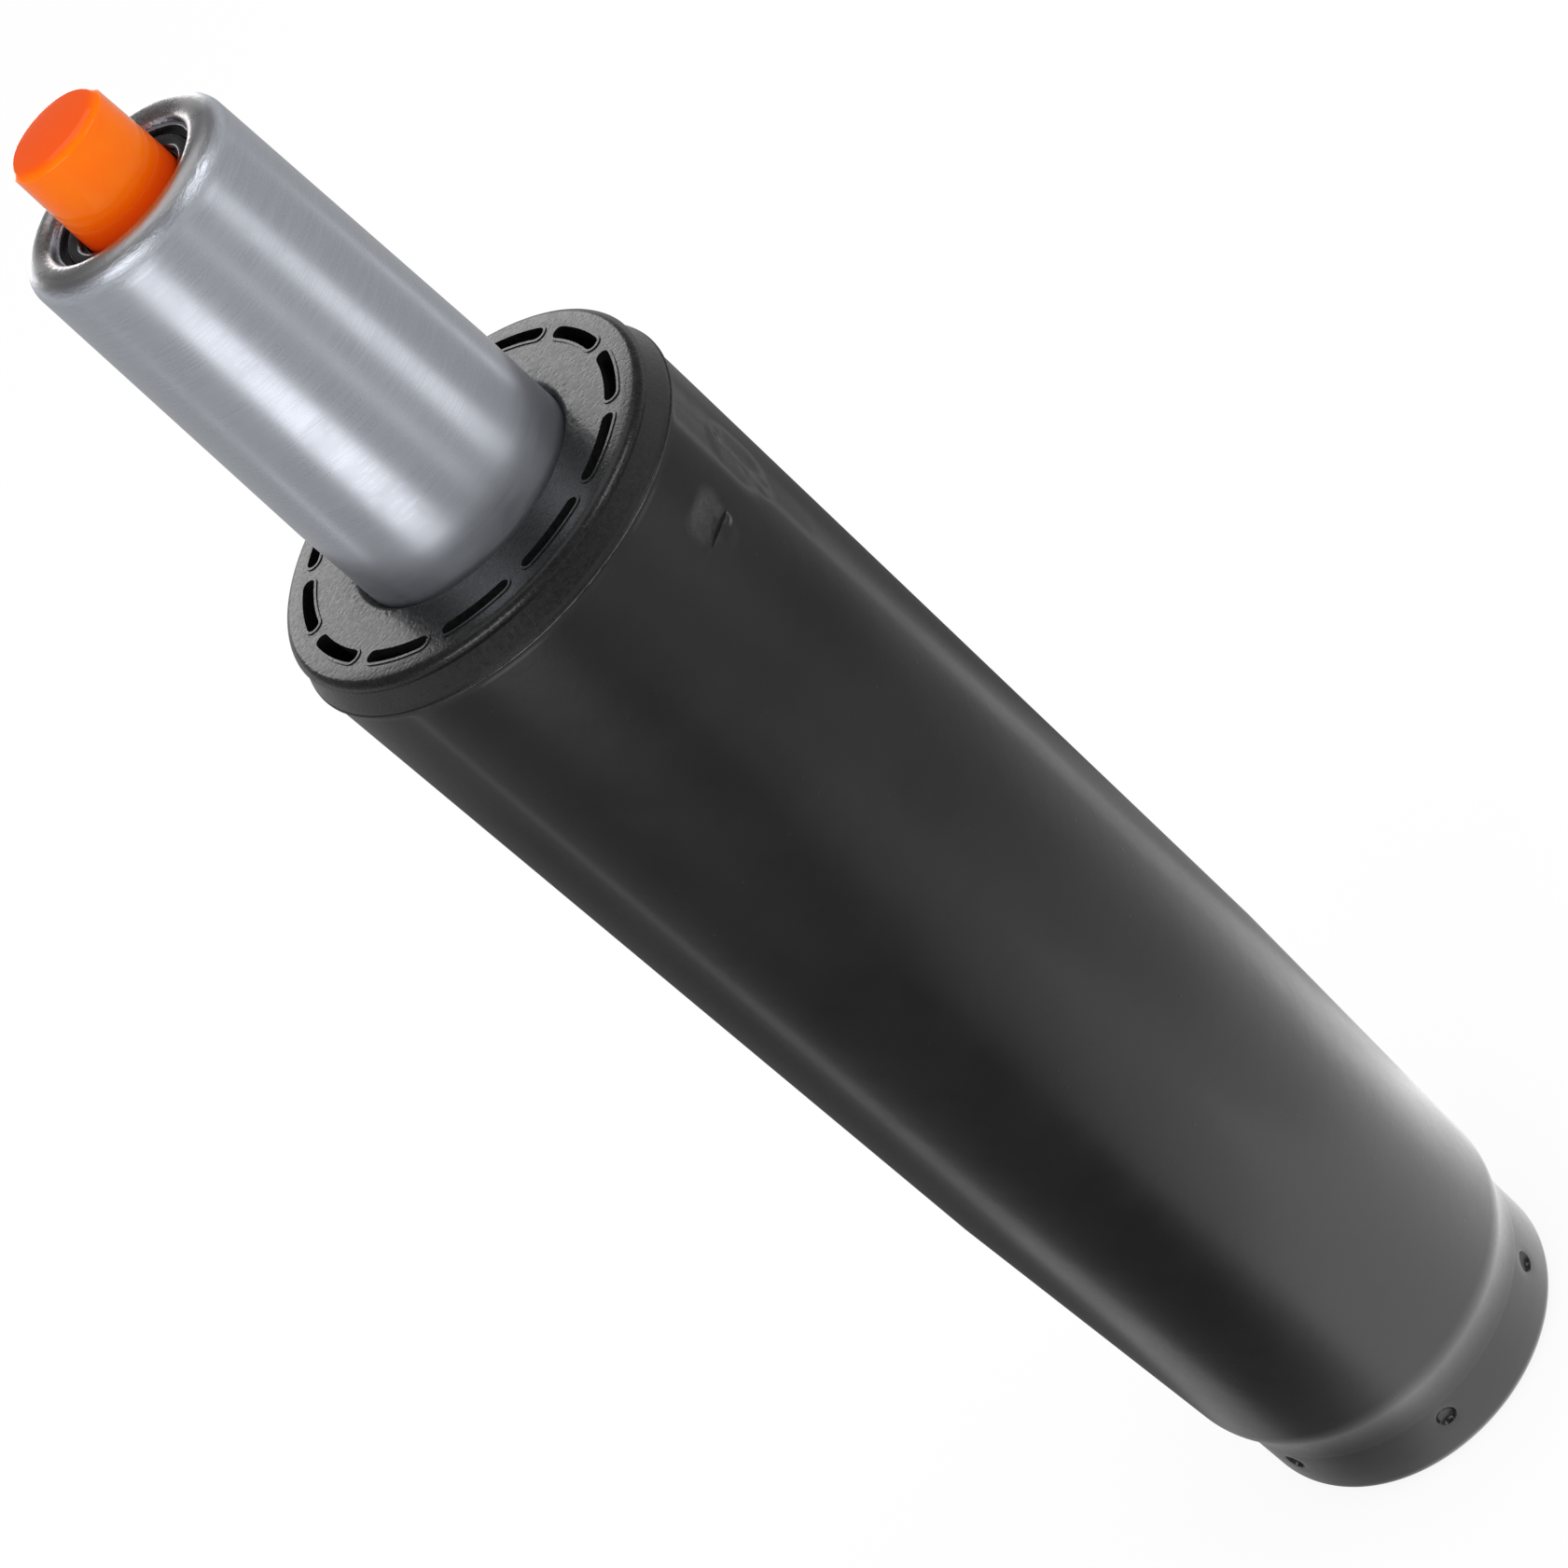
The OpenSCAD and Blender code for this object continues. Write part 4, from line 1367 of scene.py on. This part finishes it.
@dataclass
class Valve:
    """The valve housing, whose glossy collar shows in the mouth."""

    finishes: Finishes
    collar_inside: float = 6.5
    collar_outside: float = 8.3
    collar_rise: float = 1.0
    foot_gap: float = 0.02
    edge_height: float = 0.1
    sides: int = 192

    def build(self) -> None:
        """Turns the collar and fixes it on top of the housing."""
        base = top_of("valve_body")
        crest = (self.collar_outside - self.collar_inside) / 2
        middle = self.collar_inside + crest
        foot, edge, rise = base + self.foot_gap, base + self.edge_height, self.collar_rise - self.edge_height
        outline = [(self.collar_inside, foot), (self.collar_outside, foot)]
        for degrees in range(0, 181, 10):
            angle = math.radians(degrees)
            outline.append((middle + crest * math.cos(angle), edge + rise * math.sin(angle)))
        piece = turned("valve_collar", outline, self.sides)
        smooth(piece, degrees=40)
        self.finishes.put_on(piece, Slot.VALVE_PLASTIC)
        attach(piece, Body.LIFT_TUBE.value)


@dataclass
class ReleaseButton:
    """The orange release button, with its chamfered and crowned end."""

    finishes: Finishes
    draft: float = 0.2
    chamfer_height: float = 1.0
    flat: float = 0.42
    soft: float = 1.25
    corner_round: float = 0.4
    pin_radius: float = 2.05
    pin_grip: float = 4.0
    crown_steps: int = 12
    sides: int = 192

    def __post_init__(self) -> None:
        """Takes the button's place from the frame."""
        self.radius = radius_of("release_button")
        self.top = top_of("release_button")
        self.bottom = bottom_of("release_button")

    def outline(self) -> Outline:
        """Gives the section from the pin's hole round to the middle of the end face.

        Returns:
            The points in order, the first and the last on the axis.
        """
        rounding, bottom = self.corner_round, self.bottom
        upper = self.radius - self.draft
        corner = self.top - self.chamfer_height
        inner, high = upper - self.flat, corner + self.flat
        points = [(0.0, bottom + self.pin_grip), (self.pin_radius, bottom + self.pin_grip)]
        points += [(self.pin_radius, bottom), (self.radius - rounding, bottom)]
        points += [(self.radius, bottom + rounding)]
        points += run((self.radius, self.top - 9), (upper, corner - 0.2), 1.5)
        points += arc((upper - rounding, corner - 0.17), rounding, 3, 44, 7)
        points += run((upper - 0.12, corner + 0.12), (inner, high), 0.15)
        inset = self.soft * math.sqrt(0.5)
        points += arc((inner - inset, high - inset), self.soft, 48, 86, 8)
        edge_radius, edge_height = points[-1]
        for i in range(1, self.crown_steps + 1):
            share = 1 - i / self.crown_steps
            points.append((edge_radius * share, self.top - (self.top - edge_height) * share ** 2))
        return points

    def build(self) -> None:
        """Turns the button, colours it and fixes it to the frame."""
        piece = turned("orange_button", self.outline(), self.sides)
        smooth(piece, degrees=40)
        self.finishes.put_on(piece, Slot.ORANGE_PLASTIC)
        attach(piece, Body.BUTTON.value)
        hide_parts("release_button")


@dataclass
class InnerWorks:
    """The frame's own nodes, which keep their shape and get their finishes."""

    finishes: Finishes

    def build(self) -> None:
        """Gives each node of the frame the finish of its slot."""
        slots = {subpart["node"]: subpart["material_slot"] for subpart in frame["record"]["subparts"]}
        for name, node in frame["nodes"].items():
            slot = Slot(slots[name])
            node.material_slots[0].material = self.finishes.by_slot[slot]
            log.info("%s: %s", name, slot.value)


@dataclass(frozen=True)
class Softbox:
    """A flat rectangular lamp that the camera doesn't see.

    Attributes:
        name: Name of the lamp.
        place: Middle of the lamp.
        aim: Place that it faces.
        size: Its width and length.
        brightness: How bright its face is, where 1 is white.
        gloss_only: Whether it shows in gloss alone and lights nothing matt.
    """

    name: str
    place: Place
    aim: Place
    size: tuple[float, float]
    brightness: float
    gloss_only: bool = False

    def build(self) -> None:
        """Adds the lamp to the scene."""
        lamp = bpy.data.lights.new(self.name, "AREA")
        lamp.shape = "RECTANGLE"
        lamp.size, lamp.size_y = self.size[0] * MM, self.size[1] * MM
        lamp.energy = self.brightness * math.pi * lamp.size * lamp.size_y
        holder = bpy.data.objects.new(self.name, lamp)
        bpy.context.scene.collection.objects.link(holder)
        direction = Vector(self.aim) - Vector(self.place)
        turn = direction.to_track_quat("-Z", "Y").to_matrix().to_4x4()
        holder.matrix_world = Matrix.Translation(Vector(self.place) * MM) @ turn
        holder.visible_camera = False
        holder.visible_diffuse = not self.gloss_only


@dataclass(frozen=True)
class FloorCard:
    """A bright card on the floor, which shows in the tubes' gloss.

    Attributes:
        degrees: Direction of its length, as an angle round the upright axis.
        inner: Distance from the axis to its near edge, along that direction.
        outer: Distance to its far edge.
        width: Its size across that direction.
        brightness: How much brighter than the floor it is, where 1 is white.
        shift: How far it lies to the left of that direction.
        soft: Width of its blurred edge.
    """

    degrees: float
    inner: float
    outer: float
    width: float
    brightness: float
    shift: float = 0.0
    soft: float = 20.0

    def show(self, sheet: NodeSheet) -> Socket:
        """Adds the card to the floor's nodes.

        Args:
            sheet: The floor's nodes.

        Returns:
            The socket of the card's brightness.
        """
        along = on_wall(self.degrees, (self.inner + self.outer) / 2, 0)
        across = on_wall(self.degrees + 90, self.shift, 0)
        mapped = sheet.add("Mapping", "Vector", {
            "Vector": sheet.coordinates["Object"], "Location": tuple((along + across) * MM),
            "Rotation": (0, 0, math.radians(self.degrees)),
        }, vector_type="TEXTURE")
        parts = sheet.add("SeparateXYZ", "X", {"Vector": mapped}).node.outputs
        inside = []
        for axis, half, level in (
            ("X", (self.outer - self.inner) / 2, self.brightness), ("Y", self.width / 2, 1.0)
        ):
            blur = min(self.soft, half) / 2
            distance = sheet.math("ABSOLUTE", parts[axis], 0.0)
            inside.append(sheet.fade(distance, half - blur, half + blur, level, 0.0))
        return sheet.times(*inside)


@dataclass
class Studio:
    """The floor, the white surroundings and the lamps.

    Attributes:
        floor_radius: Radius of the floor.
        floor_sides: Number of its sides.
        floor_roughness: Roughness of the floor.
        shade: Pale grey of the floor.
        shadow_share: How much of the floor's real light the camera sees, and so of the shadow.
        seen_level: Brightness that the camera sees in the rest.
        gloss_near: Brightness of the floor in gloss, close to the foot.
        gloss_middle: The same, farther off.
        gloss_far: The same, farthest off.
        near_end: Distance from the axis at which the first turns into the second, in metres.
        middle_end: Distance at which the second turns into the third, in metres.
        sky_fill: Brightness of the surroundings for matt surfaces.
        horizon_top: Sine of the height at which the surroundings start to dim in gloss.
        ceiling_foot: Sine of the height at which they have dimmed.
        ceiling_gloss: Their brightness in gloss above that.
    """

    floor_radius: float = 6000.0
    floor_sides: int = 64
    floor_roughness: float = 0.9
    shade: float = 0.8
    shadow_share: float = 0.14
    seen_level: float = 1.03
    gloss_near: float = 0.02
    gloss_middle: float = 0.41
    gloss_far: float = 0.5
    near_end: Point = (0.27, 0.38)
    middle_end: Point = (0.50, 0.75)
    sky_fill: float = 0.75
    horizon_top: float = 0.02
    ceiling_foot: float = 0.25
    ceiling_gloss: float = 0.18

    def floor_material(self) -> Material:
        """Builds a pale floor, which the camera sees as white with a soft shadow.

        Its gloss in the tubes is dimmer close to the foot, where the object shades it.

        Returns:
            The material.
        """
        sheet = NodeSheet(bpy.data.materials.new("studio_floor"))
        grey = (self.shade, self.shade, self.shade, 1)
        matt = {"Base Color": grey, "Roughness": self.floor_roughness, "Specular IOR Level": 0.0}
        for name, value in matt.items():
            sheet.feed(sheet.shader.inputs[name], value)
        path = sheet.add("LightPath", "Is Camera Ray", {}).node.outputs
        seen = sheet.math("MAXIMUM", path["Is Camera Ray"], path["Is Transmission Ray"])
        distance = sheet.radius()
        level = sheet.plus(
            sheet.between(distance, *self.near_end, self.gloss_near, self.gloss_middle),
            sheet.between(distance, *self.middle_end, 0.0, self.gloss_far - self.gloss_middle),
        )
        for card in self.cards():
            level = sheet.plus(level, card.show(sheet))
        strength = sheet.math(
            "MAXIMUM", sheet.times(seen, self.seen_level), sheet.times(path["Is Glossy Ray"], level)
        )
        share = sheet.times(sheet.math("MAXIMUM", seen, path["Is Glossy Ray"]), 1 - self.shadow_share)
        glow = sheet.add("Emission", "Emission", {"Strength": strength})
        mixed = sheet.add("MixShader", "Shader", {"Fac": share, 1: sheet.shader.outputs["BSDF"], 2: glow})
        sheet.feed(sheet.tree.nodes["Material Output"].inputs["Surface"], mixed)
        sheet.owner.cycles.emission_sampling = "NONE"
        return sheet.owner

    def build_floor(self) -> None:
        """Adds the floor with its pale material."""
        bpy.ops.object.select_all(action="DESELECT")
        bpy.ops.mesh.primitive_circle_add(
            vertices=self.floor_sides, radius=self.floor_radius * MM, fill_type="NGON"
        )
        floor = bpy.context.object
        floor.name = "studio_floor"
        floor.data.materials.append(self.floor_material())

    def build_sky(self) -> None:
        """Makes the surroundings white to the eye, and a soft fill to matt surfaces.

        Gloss shows them white near the horizon and darker overhead, as a studio's ceiling is.
        """
        sheet = NodeSheet(bpy.data.worlds.new("studio_sky"))
        bpy.context.scene.world = sheet.owner
        path = sheet.add("LightPath", "Is Camera Ray", {}).node.outputs
        height = sheet.add("SeparateXYZ", "Z", {"Vector": sheet.coordinates["Generated"]})
        overhead = sheet.between(height, self.horizon_top, self.ceiling_foot, 1.0, self.ceiling_gloss)
        shine = sheet.times(path["Is Glossy Ray"], overhead)
        eye = sheet.math("MAXIMUM", path["Is Camera Ray"], path["Is Transmission Ray"])
        seen = sheet.math("MAXIMUM", eye, path["Is Glossy Ray"])
        fill = sheet.between(seen, 0.0, 1.0, self.sky_fill, 0.0)
        background = sheet.tree.nodes["Background"].inputs
        sheet.feed(background["Strength"], sheet.plus(sheet.math("MAXIMUM", eye, shine), fill))
        background["Color"].default_value = (1, 1, 1, 1)

    def cards(self) -> list[FloorCard]:
        """Lists the cards on the floor: a pool by the foot, and strips whose bands run up the tubes.

        Returns:
            The cards.
        """
        return [
            FloorCard(-22, -1, 75, 120, 0.8, shift=-17, soft=13),
            FloorCard(-22, -8, 115, 187, 0.5, shift=-31),
            FloorCard(-22, -10, 165, 275, 0.34, shift=-52, soft=40),
            FloorCard(0, -28, 235, 420, 0.3, shift=-90, soft=60),
            FloorCard(165, 40, 520, 24, 1.15, shift=7, soft=80),
            FloorCard(30, 40, 520, 42, 0.95, shift=-11),
            FloorCard(-131, 350, 640, 260, 2.2, soft=50),
            FloorCard(-37, 350, 640, 170, 1.25),
            FloorCard(-76, 350, 640, 90, 0.5),
        ]

    def lamps(self) -> list[Softbox]:
        """Lists the lamps: a box to each side, a weak one overhead, and a card for the flange.

        Returns:
            The lamps.
        """
        return [
            Softbox("left_box", (-546, -585, 700), (0, 0, 190), (760, 200), 5.5),
            Softbox("right_box", (678, -424, 680), (0, 0, 190), (560, 200), 5.6),
            Softbox("top_box", (150, 250, 1100), (0, 0, 120), (900, 900), 0.9),
            Softbox("flange_card", (0, 120, 231), (0, 0, 185), (120, 50), 3.4, gloss_only=True),
        ]

    def build(self) -> None:
        """Builds the whole studio."""
        self.build_floor()
        self.build_sky()
        for lamp in self.lamps():
            lamp.build()
        bpy.context.scene.view_settings.view_transform = "Standard"
        log.info("studio: %d floor cards, %d lamps", len(self.cards()), len(self.lamps()))


@dataclass(frozen=True)
class PhotoCamera:
    """The camera, set where the photograph was taken from and rolled as it was."""

    place: Place = (0.0, -409.76, 398.1)
    pitch: float = -33.6
    roll: float = -48.284
    lens: float = 102.17
    sensor: float = 36.0
    nearest: float = 10.0
    farthest: float = 20000.0

    def build(self) -> None:
        """Adds the camera and makes it the scene's own."""
        camera = bpy.data.cameras.new("photo_camera")
        camera.sensor_width = self.sensor
        camera.lens = self.lens
        camera.clip_start, camera.clip_end = self.nearest * MM, self.farthest * MM
        holder = bpy.data.objects.new("photo_camera", camera)
        bpy.context.scene.collection.objects.link(holder)
        tilt = Euler((math.radians(90 + self.pitch), 0, 0)).to_matrix().to_4x4()
        roll = Matrix.Rotation(math.radians(self.roll), 4, "Z")
        holder.matrix_world = Matrix.Translation(Vector(self.place) * MM) @ tilt @ roll
        bpy.context.scene.camera = holder


def main() -> None:
    """Builds the pieces in the order of a bench, then the studio and the camera."""
    logging.basicConfig(level=logging.INFO, format="%(name)s %(message)s")
    finishes = Finishes()
    tube = StandingTube(finishes)
    finishes.build(tube)
    InnerWorks(finishes).build()
    tube.build()
    for assembly in (GuideSleeve, PressureTube, Valve, ReleaseButton):
        assembly(finishes).build()
    Studio().build()
    PhotoCamera().build()


if __name__ == "__main__":
    main()
